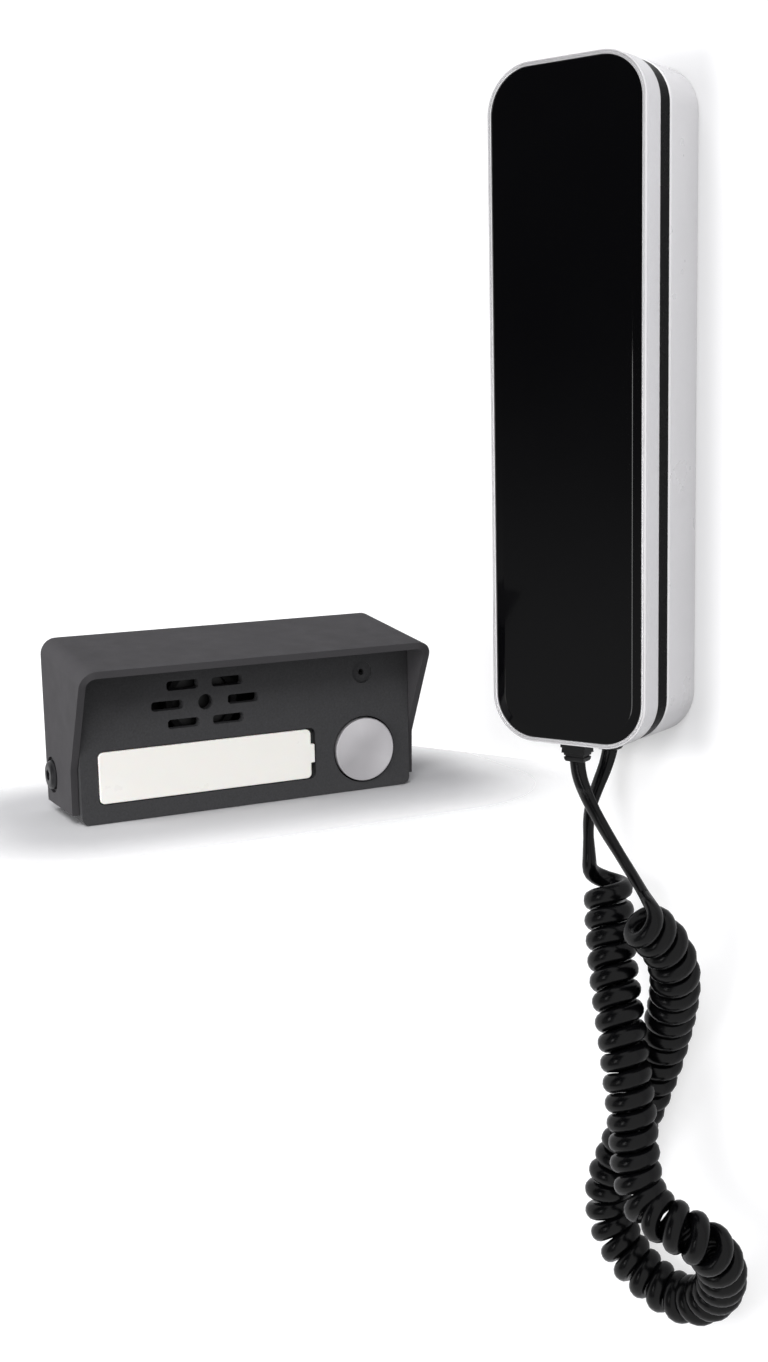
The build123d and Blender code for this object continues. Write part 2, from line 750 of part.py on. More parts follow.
with BuildPart() as base_screws:
    head_top = base_screw_recess
    with BuildSketch(wall.offset(head_top - base_screw_head_height)):
        with Locations((0, base_screw_centre)):
            with GridLocations(base_screw_spacing_x, base_screw_spacing_z, 2, 2):
                Circle(screw_head_diameter / 2)
    extrude(amount=base_screw_head_height)
    with BuildSketch(wall.offset(head_top)):
        with Locations((0, base_screw_centre)):
            with GridLocations(base_screw_spacing_x, base_screw_spacing_z, 2, 2):
                Circle(screw_shank_diameter / 2)
    extrude(amount=base_screw_length)
base_screws.part.label = "base_screws"
export_step(base_screws.part, "parts/base_screws.step")


# Base: board with a row of small components, hook switch, buzzer and terminals
pcb_top = base_pcb_depth + base_pcb_thickness
with BuildPart() as base_pcb:
    with BuildSketch(wall.offset(base_pcb_depth)):
        with Locations((0, base_pcb_centre)):
            Rectangle(base_pcb_width, base_pcb_tall)
    extrude(amount=base_pcb_thickness)
    with BuildSketch(wall.offset(pcb_top)):
        with Locations(*capacitor_places):
            Circle(capacitor_diameter / 2)
        with Locations(*chip_places):
            Rectangle(chip_width, chip_tall)
    extrude(amount=component_height)
base_pcb.part.label = "base_pcb"
export_step(base_pcb.part, "parts/base_pcb.step")

flange_top = cavity_depth - plunger_stop_gap - plunger_travel
plunger_foot = flange_top - plunger_flange_thickness
with BuildPart() as hook_switch:
    with BuildSketch(wall.offset(pcb_top)):
        with Locations((0, plunger_height)):
            Rectangle(hook_switch_width, hook_switch_tall)
    extrude(amount=hook_switch_height)
    with BuildSketch(wall.offset(pcb_top + hook_switch_height)):
        with Locations((-hook_switch_width / 2 + 1.5, plunger_height)):
            Rectangle(1.6, hook_lever_tall)
    extrude(amount=plunger_foot - press_gap - hook_lever_thickness - pcb_top - hook_switch_height)
    with BuildSketch(wall.offset(plunger_foot - press_gap - hook_lever_thickness)):
        with Locations(((hook_lever_width - hook_switch_width) / 2 + 0.7, plunger_height)):
            Rectangle(hook_lever_width, hook_lever_tall)
    extrude(amount=hook_lever_thickness)
hook_switch.part.label = "hook_switch"
export_step(hook_switch.part, "parts/hook_switch.step")

with BuildPart() as hook_plunger:
    with BuildSketch(wall.offset(plunger_foot)):
        with Locations((0, plunger_height)):
            Circle(plunger_flange_diameter / 2)
    extrude(amount=plunger_flange_thickness)
    with BuildSketch(wall.offset(plunger_foot)):
        with Locations((0, plunger_height)):
            Circle(plunger_diameter / 2)
    extrude(amount=base_depth - press_gap - plunger_foot)
    chamfer(hook_plunger.faces().sort_by(Axis.Y)[0].edges(), 0.6)
hook_plunger.part.label = "hook_plunger"
export_step(hook_plunger.part, "parts/hook_plunger.step")

with BuildPart() as buzzer:
    with BuildSketch(wall.offset(pcb_top)):
        with Locations((0, buzzer_height)):
            Circle(buzzer_diameter / 2)
    extrude(amount=buzzer_thickness)
    with BuildSketch(wall.offset(pcb_top + buzzer_thickness - 2)):
        with Locations((0, buzzer_height)):
            Circle(buzzer_hole_diameter / 2)
    extrude(amount=2, mode=Mode.SUBTRACT)
buzzer.part.label = "buzzer"
export_step(buzzer.part, "parts/buzzer.step")

terminal_pitch = terminal_width / terminal_count
with BuildPart() as base_terminals:
    with BuildSketch(wall.offset(pcb_top)):
        with Locations((0, terminal_centre)):
            Rectangle(terminal_width, terminal_tall)
    extrude(amount=terminal_height)
    with BuildSketch(wall.offset(pcb_top + terminal_height - 2)):
        with Locations((0, terminal_centre + 1)):
            with GridLocations(terminal_pitch, 1, terminal_count, 1):
                Circle(1.5)
    extrude(amount=2, mode=Mode.SUBTRACT)
base_terminals.part.label = "base_terminals"
export_step(base_terminals.part, "parts/base_terminals.step")


# Curly cord
def spline(points, step):
    """Closely spaced points on a quadratic spline with the given control points."""
    corners = [np.array(point, float) for point in points]
    middles = [(corner + following) / 2 for corner, following in zip(corners[1:-2], corners[2:-1])]
    ends = [corners[0], *middles, corners[-1]]
    curve = []
    for start, corner, end in zip(ends, corners[1:-1], ends[1:]):
        t = np.arange(0, 1, step / np.linalg.norm(end - start))[:, None]
        curve.append((1 - t) ** 2 * start + 2 * t * (1 - t) * corner + t**2 * end)
    return np.vstack([*curve, corners[-1]])


def curl_about(route):
    """Middle line of the wire about the route, and the angle that it has turned at each point.

    The turns open out where the route bends, so that the inner sides keep clear, and the first
    stretch eases from along the route to round it.
    """
    gaps = np.linalg.norm(np.diff(route, axis=0), axis=1)
    along = np.concatenate(([0], np.cumsum(gaps)))
    ahead = np.gradient(route, along, axis=0)
    ahead /= np.linalg.norm(ahead, axis=1)[:, None]
    side = np.zeros_like(ahead)
    across = np.array([0.0, 1.0, 0.0])
    for i, direction in enumerate(ahead):
        across = across - direction * across.dot(direction)
        across /= np.linalg.norm(across)
        side[i] = across
    bend = np.linalg.norm(np.gradient(ahead, along, axis=0), axis=1)
    reach = int(8 / gaps.mean())
    bend = np.convolve(np.pad(bend, reach, mode="edge"), np.ones(2 * reach + 1) / (2 * reach + 1), "valid")
    lead = np.clip(along / curl_lead, 0, 1)
    rate = (1 - curl_bend_room * curl_radius * bend) * lead**2 * (3 - 2 * lead)
    turned = np.concatenate(([0], np.cumsum((rate[1:] + rate[:-1]) / 2 * gaps)))
    turned *= 2 * pi * curl_turns / turned[-1]
    angle = (radians(curl_first_angle) + turned)[:, None]
    wire = route + curl_radius * (np.cos(angle) * side + np.sin(angle) * np.cross(ahead, side))
    return wire, turned


def at_angles(wire, turned, angles):
    """Points of the wire where it has turned by the given angles."""
    return np.stack([np.interp(angles, turned, wire[:, axis]) for axis in range(3)], axis=1)


def biarc_middle(start, start_tangent, end, end_tangent):
    """Meeting point and tangent of the two arcs that join two points with given tangents."""
    chord = end - start
    both = start_tangent + end_tangent
    square = 2 * (1 - start_tangent.dot(end_tangent))
    half = chord.dot(both)
    reach = ((half**2 + square * chord.dot(chord)) ** 0.5 - half) / square
    first = start + start_tangent * reach
    second = end - end_tangent * reach
    return (first + second) / 2, (second - first).normalized()


def corner_radii(points):
    """Radius of the arc at each corner of a free stretch, as large as its two runs allow."""
    radii = []
    for before, corner, after in zip(points, points[1:], points[2:]):
        arriving = Vector(*corner) - Vector(*before)
        leaving = Vector(*after) - Vector(*corner)
        half_turn = radians(arriving.get_angle(leaving)) / 2
        radii.append(0.45 * min(arriving.length, leaving.length) / tan(half_turn))
    return radii


def oval(width, thickness, sides=8):
    """Corners of the flat cord's section."""
    turns = [2 * pi * (corner + 0.5) / sides for corner in range(sides)]
    return [(width / 2 * cos(turn), thickness / 2 * sin(turn)) for turn in turns]


curl_line, curl_turned = curl_about(spline(curl_route, curl_step))
curl_tangents = np.gradient(curl_line, axis=0)
curl_tangents /= np.linalg.norm(curl_tangents, axis=1)[:, None]
half_turns = np.append(np.arange(0, 2 * curl_turns - 0.25, 1), 2 * curl_turns) * pi
joints = [Vector(*point) for point in at_angles(curl_line, curl_turned, half_turns)]
tangents = [
    Vector(*point).normalized() for point in at_angles(curl_tangents, curl_turned, half_turns)
]
curl_start = joints[0] - tangents[0] * curl_wire_diameter
curl_end = joints[-1] + tangents[-1] * curl_wire_diameter

with BuildPart() as cord_coil:
    with BuildLine():
        Line(curl_start, joints[0])
        for i in range(len(joints) - 1):
            middle, middle_tangent = biarc_middle(joints[i], tangents[i], joints[i + 1], tangents[i + 1])
            TangentArc(joints[i], middle, tangent=tangents[i])
            TangentArc(middle, joints[i + 1], tangent=middle_tangent)
        Line(joints[-1], curl_end)
    with BuildSketch(Plane(origin=curl_start, z_dir=tangents[0])):
        RegularPolygon(curl_wire_diameter / 2, curl_wire_sides)
    sweep(clean=False)
cord_coil.part.label = "cord_coil"
export_step(cord_coil.part, "parts/cord_coil.step")

# Least gap of the curl to itself, measured between points of its middle line half a turn apart or more
samples_per_turn = 36
sample_angles = np.arange(0, curl_turned[-1], 2 * pi / samples_per_turn)
samples = at_angles(curl_line, curl_turned, sample_angles)
least = min(
    np.linalg.norm(samples[i + int(samples_per_turn * 0.6):] - samples[i], axis=1).min()
    for i in range(len(samples) - samples_per_turn)
)
curl_length = np.linalg.norm(np.diff(curl_line, axis=0), axis=1).sum()
print("curl: wire length", round(curl_length), "turns", curl_turns)
print("curl: least gap to itself", round(float(least) - curl_wire_diameter, 2))
print("curl: ends", curl_start, curl_end)

handset_exit = (0, -handset_plug_depth, plug_end)
base_exit = (0, -base_plug_depth, plug_end)
handset_tail_points = [
    handset_exit,
    (0, -handset_plug_depth, plug_end - handset_tail_end_run),
    *handset_tail_middle,
    tuple(curl_end + tangents[-1] * handset_tail_end_run),
    tuple(curl_end),
]
base_tail_points = [
    base_exit,
    (0, -base_plug_depth, plug_end - base_tail_end_run),
    *base_tail_middle,
    tuple(curl_start - tangents[0] * base_tail_end_run),
    tuple(curl_start),
]

with BuildPart() as cord_tail_handset:
    with BuildLine() as handset_tail_path:
        FilletPolyline(*handset_tail_points, radius=corner_radii(handset_tail_points))
    with BuildSketch(Plane(origin=handset_exit, x_dir=(1, 0, 0), z_dir=(0, 0, -1))):
        with BuildLine():
            Polyline(*oval(wire_width, wire_thickness), close=True)
        make_face()
    sweep()
cord_tail_handset.part.label = "cord_tail_handset"
export_step(cord_tail_handset.part, "parts/cord_tail_handset.step")

with BuildPart() as cord_tail_base:
    with BuildLine() as base_tail_path:
        FilletPolyline(*base_tail_points, radius=corner_radii(base_tail_points))
    with BuildSketch(Plane(origin=base_exit, x_dir=(1, 0, 0), z_dir=(0, 0, -1))):
        with BuildLine():
            Polyline(*oval(wire_width, wire_thickness), close=True)
        make_face()
    sweep()
cord_tail_base.part.label = "cord_tail_base"
export_step(cord_tail_base.part, "parts/cord_tail_base.step")

for name, tail, path, points in (
    ("handset tail", cord_tail_handset, handset_tail_path, handset_tail_points),
    ("base tail", cord_tail_base, base_tail_path, base_tail_points),
):
    length = sum(edge.length for edge in path.line.edges())
    section = tail.faces().sort_by(Axis.Z)[-1].area
    print(name, "radii", [round(radius, 1) for radius in corner_radii(points)])
    print(name, "length", round(length, 1), "volume over section times length",
          round(tail.part.volume / (section * length), 3))


# Door station, in planes turned with it: x along its face, z up, depth counted from its face
station = Plane(
    origin=station_place,
    x_dir=(cos(radians(station_turn)), sin(radians(station_turn)), 0),
    z_dir=(0, 0, 1),
)
station_face = Plane(origin=station.origin, x_dir=station.x_dir, z_dir=-station.y_dir)
station_side = Plane(origin=station.origin, x_dir=station.y_dir, z_dir=station.x_dir)
roof_slope = hood_drop / (hood_reach + station_depth)


def roof(depth, height):
    """Height of a surface under the roof's slope, given its height at the back."""
    return height - roof_slope * (station_depth - depth)


def side_outline(front, back, bottom, height):
    """Side view of a body with a flat bottom and the roof's slope on top."""
    return [(front, bottom), (back, bottom), (back, roof(back, height)), (front, roof(front, height))]


# Door station: housing, open at the back
back_start = station_depth - station_back_thickness
with BuildPart() as station_housing:
    with BuildSketch(station_side.offset(-station_width / 2)):
        with BuildLine():
            Polyline(*side_outline(0, back_start, 0, station_height), close=True)
        make_face()
    extrude(amount=station_width)
    long_edges = station_housing.edges().filter_by(
        lambda edge: abs((edge % 0.5).dot(station.y_dir)) > 0.9
    )
    fillet(long_edges.sort_by(Axis.Z)[-2:], station_shoulder_round)
    fillet(long_edges.sort_by(Axis.Z)[:2], station_edge_round)
    with BuildSketch(station_side.offset(station_wall - station_width / 2)):
        with BuildLine():
            Polyline(
                *side_outline(station_front_wall, back_start, station_wall, station_height - station_wall),
                close=True,
            )
        make_face()
    extrude(amount=station_width - 2 * station_wall, mode=Mode.SUBTRACT)
    # Grille
    with BuildSketch(station_face):
        with Locations((grille_x, grille_z)):
            Circle(grille_hole_diameter / 2)
            with Locations((-grille_far_x, 0), (grille_far_x, 0)):
                RectangleRounded(grille_slot_length, grille_slot_tall, grille_slot_tall * 0.35)
            with GridLocations(2 * grille_near_x, 2 * grille_row_pitch, 2, 2):
                RectangleRounded(grille_slot_length, grille_slot_tall, grille_slot_tall * 0.35)
    extrude(amount=-station_front_wall, mode=Mode.SUBTRACT)
    # Name plate recess, wider at the right for the cover's tab
    with BuildSketch(station_face):
        with Locations((name_x + (name_recess_margin - name_gap) / 2, name_z)):
            RectangleRounded(
                name_width + name_gap + name_recess_margin, name_tall + 2 * name_gap, name_radius + name_gap
            )
    extrude(amount=-name_recess, mode=Mode.SUBTRACT)
    # Button hole, microphone recess and its hole
    with BuildSketch(station_face):
        with Locations((call_x, call_z)):
            Circle(call_diameter / 2 + call_gap)
        with Locations((mic_x, mic_z)):
            Circle(mic_hole_diameter / 2)
    extrude(amount=-station_front_wall, mode=Mode.SUBTRACT)
    with BuildSketch(station_face):
        with Locations((mic_x, mic_z)):
            Circle(mic_recess_diameter / 2)
    extrude(amount=-mic_recess_depth, mode=Mode.SUBTRACT)
    # Posts for the board
    with BuildSketch(station_face.offset(-station_front_wall)):
        with Locations(*[(x, z) for x in (-station_post_x, station_post_x) for z in station_post_heights]):
            Circle(station_post_diameter / 2)
    extrude(amount=station_front_wall - station_pcb_depth)
    # Holes of the side screws
    with BuildSketch(station_side.offset(-station_width / 2)):
        with Locations((side_screw_depth, side_screw_z)):
            Circle(side_screw_hole / 2 + 0.2)
    extrude(amount=station_width, mode=Mode.SUBTRACT)
station_housing.part.label = "station_housing"
export_step(station_housing.part, "parts/station_housing.step")


# Door station: back plate, with ears for the side screws
with BuildPart() as station_back:
    with BuildSketch(station_side.offset(-station_width / 2)):
        with BuildLine():
            Polyline(*side_outline(back_start, station_depth, 0, station_height), close=True)
        make_face()
    extrude(amount=station_width)
    short_edges = station_back.edges().filter_by(
        lambda edge: abs((edge % 0.5).dot(station.y_dir)) > 0.9
    )
    fillet(short_edges.sort_by(Axis.Z)[-2:], station_shoulder_round)
    fillet(short_edges.sort_by(Axis.Z)[:2], station_edge_round)
    with BuildSketch(station_face.offset(-back_start)):
        ear_x = station_width / 2 - station_wall - hood_gap - ear_block_width / 2
        with Locations((-ear_x, side_screw_z), (ear_x, side_screw_z)):
            Rectangle(ear_block_width, ear_block_tall)
    extrude(amount=ear_block_depth)
    with BuildSketch(station_face.offset(-back_start)):
        with Locations((0, station_hole_z)):
            with GridLocations(station_hole_spacing, 1, 2, 1):
                Circle(wall_hole_diameter / 2)
        with Locations((station_cable_x, station_cable_z)):
            Circle(station_cable_diameter / 2)
    extrude(amount=-station_back_thickness, mode=Mode.SUBTRACT)
    with BuildSketch(station_side.offset(-station_width / 2)):
        with Locations((side_screw_depth, side_screw_z)):
            Circle(side_screw_hole / 2)
    extrude(amount=station_width, mode=Mode.SUBTRACT)
station_back.part.label = "station_back"
export_step(station_back.part, "parts/station_back.step")


# Door station: rain hood, a sloping roof and two cheeks that narrow towards the bottom
hood_inner_width = station_width + 2 * hood_gap
hood_width = hood_inner_width + 2 * hood_thickness
hood_roof = station_height + hood_gap + hood_thickness
with BuildPart() as station_hood:
    with BuildSketch(station_side.offset(-hood_width / 2)):
        with BuildLine():
            Polyline(
                (hood_foot_back, hood_skirt),
                (station_depth, hood_skirt),
                (station_depth, hood_roof),
                (-hood_reach, roof(-hood_reach, hood_roof)),
                (hood_step_back, hood_step_height),
                close=True,
            )
        make_face()
    extrude(amount=hood_width)
    shoulders = station_hood.edges().filter_by(
        lambda edge: abs((edge % 0.5).dot(station.y_dir)) > 0.9
    )
    fillet(shoulders.sort_by(Axis.Z)[-2:], hood_shoulder_round)
    with BuildSketch(station_side.offset(-hood_inner_width / 2)):
        with BuildLine():
            Polyline(
                *side_outline(-hood_reach - 1, station_depth, 0, hood_roof - hood_thickness),
                close=True,
            )
        make_face()
    extrude(amount=hood_inner_width, mode=Mode.SUBTRACT)
    inner_corners = station_hood.edges().filter_by(
        lambda edge: abs(abs(station.to_local_coords(edge @ 0.5).X) - hood_inner_width / 2) < 0.01
        and abs((edge % 0.5).dot(station.y_dir)) > 0.9
    )
    fillet(inner_corners.sort_by(Axis.Z)[-2:], station_shoulder_round)
    # Recesses and holes of the side screws
    with BuildSketch(station_side.offset(-hood_width / 2)):
        with Locations((side_screw_depth, side_screw_z)):
            Circle(side_screw_hole / 2 + 0.2)
    extrude(amount=hood_width, mode=Mode.SUBTRACT)
    with BuildSketch(station_side.offset(-hood_width / 2)):
        with Locations((side_screw_depth, side_screw_z)):
            Circle(side_screw_recess / 2)
    extrude(amount=side_screw_recess_depth, mode=Mode.SUBTRACT)
    with BuildSketch(station_side.offset(hood_width / 2)):
        with Locations((side_screw_depth, side_screw_z)):
            Circle(side_screw_recess / 2)
    extrude(amount=-side_screw_recess_depth, mode=Mode.SUBTRACT)
station_hood.part.label = "station_hood"
export_step(station_hood.part, "parts/station_hood.step")


# Side screws with raised heads and a six-sided socket
screw_seat = hood_width / 2 - side_screw_recess_depth
with BuildPart() as side_screws:
    for hand in (-1, 1):
        with BuildSketch(station_side.offset(hand * screw_seat)):
            with Locations((side_screw_depth, side_screw_z)):
                Circle(side_screw_head / 2)
        extrude(amount=hand * side_screw_dome)
        chamfer(
            side_screws.edges().sort_by(lambda edge: hand * edge.center().dot(station.x_dir))[-1],
            side_screw_edge,
        )
        with BuildSketch(station_side.offset(hand * screw_seat)):
            with Locations((side_screw_depth, side_screw_z)):
                Circle(side_screw_shank / 2)
        extrude(amount=-hand * side_screw_length)
        with BuildSketch(station_side.offset(hand * (screw_seat + side_screw_dome))):
            with Locations((side_screw_depth, side_screw_z)):
                RegularPolygon(side_screw_socket / 2, 6)
        extrude(amount=-hand * side_screw_socket_depth, mode=Mode.SUBTRACT)
side_screws.part.label = "side_screws"
export_step(side_screws.part, "parts/side_screws.step")


# Name plate: clear cover with its prising tab, and the card behind it
with BuildPart() as name_cover:
    with BuildSketch(station_face.offset(name_proud)):
        with Locations((name_x, name_z)):
            RectangleRounded(name_width, name_tall, name_radius)
    extrude(amount=name_card_thickness - name_recess - name_proud)
    with BuildSketch(station_face.offset(name_proud)):
        with Locations((name_x + name_width / 2, name_z)):
            Rectangle(2 * name_tab_width, name_tab_tall)
    extrude(amount=-name_tab_thickness)
name_cover.part.label = "name_cover"
export_step(name_cover.part, "parts/name_cover.step")

with BuildPart() as name_card:
    with BuildSketch(station_face.offset(name_card_thickness - name_recess)):
        with Locations((name_x, name_z)):
            Rectangle(name_width - 2 * name_card_margin, name_tall - 2 * name_card_margin)
    extrude(amount=-name_card_thickness)
name_card.part.label = "name_card"
export_step(name_card.part, "parts/name_card.step")


# Call button: round cap with two side lugs behind the front wall, and a stem over its switch
lug_start = station_front_wall + press_gap
call_stem_end = station_pcb_depth - call_switch_height - switch_plunger_height - call_travel - press_gap
with BuildPart() as call_button:
    with BuildSketch(station_face.offset(call_proud)):
        with Locations((call_x, call_z)):
            Circle(call_diameter / 2)
    extrude(amount=-call_proud - lug_start - call_lug_thickness)
    front_edge = call_button.edges().sort_by(lambda edge: edge.center().dot(station.y_dir))[0]
    chamfer(front_edge, call_edge)
    with BuildSketch(station_face.offset(-lug_start)):
        with Locations((call_x, call_z)):
            RectangleRounded(call_lug_width, call_lug_tall, 1.0)
    extrude(amount=-call_lug_thickness)
    with BuildSketch(station_face.offset(-lug_start)):
        with Locations((call_x, call_z)):
            Circle(call_stem_diameter / 2)
    extrude(amount=lug_start - call_stem_end)
call_button.part.label = "call_button"
export_step(call_button.part, "parts/call_button.step")

with BuildPart() as call_switch:
    with BuildSketch(station_face.offset(-station_pcb_depth)):
        with Locations((call_x, call_z)):
            Rectangle(switch_side, switch_side)
    extrude(amount=call_switch_height)
    with BuildSketch(station_face.offset(call_switch_height - station_pcb_depth)):
        with Locations((call_x, call_z)):
            Circle(switch_plunger_diameter / 2)
    extrude(amount=switch_plunger_height)
call_switch.part.label = "call_switch"
export_step(call_switch.part, "parts/call_switch.step")


# Speaker with its gasket, behind the grille
with BuildPart() as speaker_gasket:
    with BuildSketch(station_face.offset(-station_front_wall)):
        with Locations((grille_x, grille_z)):
            Circle(speaker_diameter / 2)
            Circle(speaker_diameter / 2 - gasket_width, mode=Mode.SUBTRACT)
    extrude(amount=-gasket_thickness)
speaker_gasket.part.label = "speaker_gasket"
export_step(speaker_gasket.part, "parts/speaker_gasket.step")

speaker_start = station_front_wall + gasket_thickness
with BuildPart() as station_speaker:
    with BuildSketch(station_face.offset(-speaker_start)):
        with Locations((grille_x, grille_z)):
            Circle(speaker_diameter / 2)
    extrude(amount=-speaker_rim_height)
    with BuildSketch(station_face.offset(-speaker_start - speaker_rim_height)):
        with Locations((grille_x, grille_z)):
            Circle(speaker_magnet_diameter / 2)
    extrude(amount=speaker_rim_height - speaker_height)
station_speaker.part.label = "station_speaker"
export_step(station_speaker.part, "parts/station_speaker.step")


# Microphone of the door station in its rubber boot, against the front wall
with BuildPart() as station_mic_boot:
    with BuildSketch(station_face.offset(-station_front_wall)):
        with Locations((mic_x, mic_z)):
            Circle(mic_diameter / 2 + press_gap + mic_boot_wall)
    extrude(amount=-mic_boot_floor - mic_height)
    with BuildSketch(station_face.offset(-station_front_wall - mic_boot_floor)):
        with Locations((mic_x, mic_z)):
            Circle(mic_diameter / 2 + press_gap)
    extrude(amount=-mic_height, mode=Mode.SUBTRACT)
    with BuildSketch(station_face.offset(-station_front_wall)):
        with Locations((mic_x, mic_z)):
            Circle(mic_hole_diameter / 2)
    extrude(amount=-mic_boot_floor, mode=Mode.SUBTRACT)
station_mic_boot.part.label = "station_mic_boot"
export_step(station_mic_boot.part, "parts/station_mic_boot.step")

with BuildPart() as station_microphone:
    with BuildSketch(station_face.offset(-station_front_wall - mic_boot_floor)):
        with Locations((mic_x, mic_z)):
            Circle(mic_diameter / 2)
    extrude(amount=-mic_height)
station_microphone.part.label = "station_microphone"
export_step(station_microphone.part, "parts/station_microphone.step")


# Board of the door station, on the housing's posts, with its terminals behind
with BuildPart() as station_pcb:
    with BuildSketch(station_face.offset(-station_pcb_depth)):
        with Locations((0, station_pcb_centre)):
            Rectangle(station_pcb_width, station_pcb_tall)
    extrude(amount=-station_pcb_thickness)
station_pcb.part.label = "station_pcb"
export_step(station_pcb.part, "parts/station_pcb.step")

with BuildPart() as station_terminals:
    with BuildSketch(station_face.offset(-station_pcb_depth - station_pcb_thickness)):
        with Locations((station_terminal_x, station_terminal_z)):
            Rectangle(terminal_width, terminal_tall)
    extrude(amount=-terminal_height)
    with BuildSketch(station_face.offset(-station_pcb_depth - station_pcb_thickness - terminal_height)):
        with Locations((station_terminal_x, station_terminal_z + 1)):
            with GridLocations(terminal_pitch, 1, terminal_count, 1):
                Circle(1.5)
    extrude(amount=2, mode=Mode.SUBTRACT)
station_terminals.part.label = "station_terminals"
export_step(station_terminals.part, "parts/station_terminals.step")
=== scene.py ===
from math import pi, radians

import bmesh
import bpy
import numpy as np
from mathutils import Matrix, Vector


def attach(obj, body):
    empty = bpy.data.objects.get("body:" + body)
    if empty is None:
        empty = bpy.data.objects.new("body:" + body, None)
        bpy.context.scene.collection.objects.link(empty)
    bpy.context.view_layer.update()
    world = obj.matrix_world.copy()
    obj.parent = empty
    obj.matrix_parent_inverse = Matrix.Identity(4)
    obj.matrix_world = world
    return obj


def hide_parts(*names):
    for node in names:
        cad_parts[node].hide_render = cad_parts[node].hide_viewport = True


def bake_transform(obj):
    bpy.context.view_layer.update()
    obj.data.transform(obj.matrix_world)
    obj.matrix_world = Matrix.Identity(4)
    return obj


# Door intercom set: a black and silver wall handset on its base, its curly cord, and a hooded door
# station. Pieces are shaped in millimetres and set into the frame, which is in metres.
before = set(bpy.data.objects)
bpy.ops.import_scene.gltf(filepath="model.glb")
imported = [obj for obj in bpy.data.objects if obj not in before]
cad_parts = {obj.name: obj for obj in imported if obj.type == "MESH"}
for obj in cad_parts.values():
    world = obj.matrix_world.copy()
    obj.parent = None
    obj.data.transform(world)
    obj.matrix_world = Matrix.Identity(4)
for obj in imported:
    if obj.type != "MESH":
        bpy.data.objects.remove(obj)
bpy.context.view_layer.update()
scene = bpy.context.scene

MM = 0.001
ON_WALL = Matrix.Scale(MM, 4)
STATION_PLACE = (-75.2, -100.9, -119.5)
STATION_TURN = radians(62.42)
ON_STATION = (
    ON_WALL @ Matrix.Translation(STATION_PLACE) @ Matrix.Rotation(STATION_TURN, 4, "Z")
)

# Call button: its middle on the station's face, its front and its diameter
BUTTON_X, BUTTON_Z, BUTTON_FRONT, BUTTON_DIAMETER = 38.9, 13.3, -1.0, 20.6


# Camera and light

# The photograph's viewpoint, fitted over points of both the handset and the door station
FOCAL_LENGTH = 43.41
CAMERA_PLACE = (0.2526, -0.4852, -0.0008)
CAMERA_RIGHT = (0.81368, 0.58089, -0.02227)
CAMERA_AHEAD = (-0.57659, 0.80161, -0.15802)


def put(name, data):
    """An object that holds a mesh, a lamp or the camera, in the scene."""
    made = bpy.data.objects.new(name, data)
    scene.collection.objects.link(made)
    return made


lens = bpy.data.cameras.new("camera")
lens.lens = FOCAL_LENGTH
lens.sensor_width = 36.0
lens.clip_start = 0.01
camera = put("camera", lens)
ahead = Vector(CAMERA_AHEAD).normalized()
upward = Vector(CAMERA_RIGHT).cross(ahead).normalized()
facing = Matrix((ahead.cross(upward), upward, -ahead)).transposed().to_4x4()
camera.matrix_world = Matrix.Translation(CAMERA_PLACE) @ facing
scene.camera = camera
scene.view_settings.view_transform = "Standard"


def linear(colour):
    """Linear RGBA of an sRGB hex colour."""
    parts = [int(colour[i:i + 2], 16) / 255 for i in (1, 3, 5)]
    return (*[c / 12.92 if c <= 0.04045 else ((c + 0.055) / 1.055) ** 2.4 for c in parts], 1.0)


def add(tree, kind, links=(), values=(), **settings):
    """A node with its settings, its unlinked values and the sockets that feed it."""
    made = tree.nodes.new(kind)
    for key, value in settings.items():
        setattr(made, key, value)
    for socket, value in dict(values).items():
        made.inputs[socket].default_value = value
    for socket, source in dict(links).items():
        tree.links.new(source, made.inputs[socket])
    return made


# A white room: half its light falls on the object, while camera, metal and glass see it fully white
ROOM_LIGHT, ROOM_SEEN = 0.5, 1.0

world = bpy.data.worlds.new("white_room")
world.use_nodes = True
scene.world = world
room = world.node_tree
room.nodes.clear()
ray = add(room, "ShaderNodeLightPath")
seen = add(room, "ShaderNodeMath", {0: ray.outputs["Is Camera Ray"], 1: ray.outputs["Is Glossy Ray"]},
           operation="MAXIMUM")
seen = add(room, "ShaderNodeMath", {0: seen.outputs[0], 1: ray.outputs["Is Transmission Ray"]},
           operation="MAXIMUM")
light = add(room, "ShaderNodeBackground", values={"Color": linear("#FFFFFF"), "Strength": ROOM_LIGHT})
backdrop = add(room, "ShaderNodeBackground", values={"Color": linear("#FFFFFF"), "Strength": ROOM_SEEN})
mixed = add(room, "ShaderNodeMixShader",
            {0: seen.outputs[0], 1: light.outputs[0], 2: backdrop.outputs[0]})
add(room, "ShaderNodeOutputWorld", {"Surface": mixed.outputs[0]})


def soft_lamp(name, place, target, size, power):
    """A round lamp turned to its target, which mirrors don't show."""
    lamp = bpy.data.lights.new(name, "AREA")
    lamp.shape = "DISK"
    lamp.size = size
    lamp.energy = power
    holder = put(name, lamp)
    holder.location = place
    holder.rotation_euler = (Vector(target) - Vector(place)).to_track_quat("-Z", "Y").to_euler()
    holder.visible_glossy = False


# The key lamp stands far off above, so that the wall is evenly lit; the others fill from right and left
soft_lamp("key_lamp", (-0.63, -1.74, 2.36), (-0.03, -0.02, -0.10), 1.1, 24.0)
soft_lamp("fill_lamp", (0.45, -0.9, 0.75), (-0.03, -0.05, -0.08), 0.5, 8.0)
soft_lamp("side_lamp", (-0.35, -1.0, -0.02), (-0.05, -0.08, -0.09), 0.6, 6.5)


# Finishes

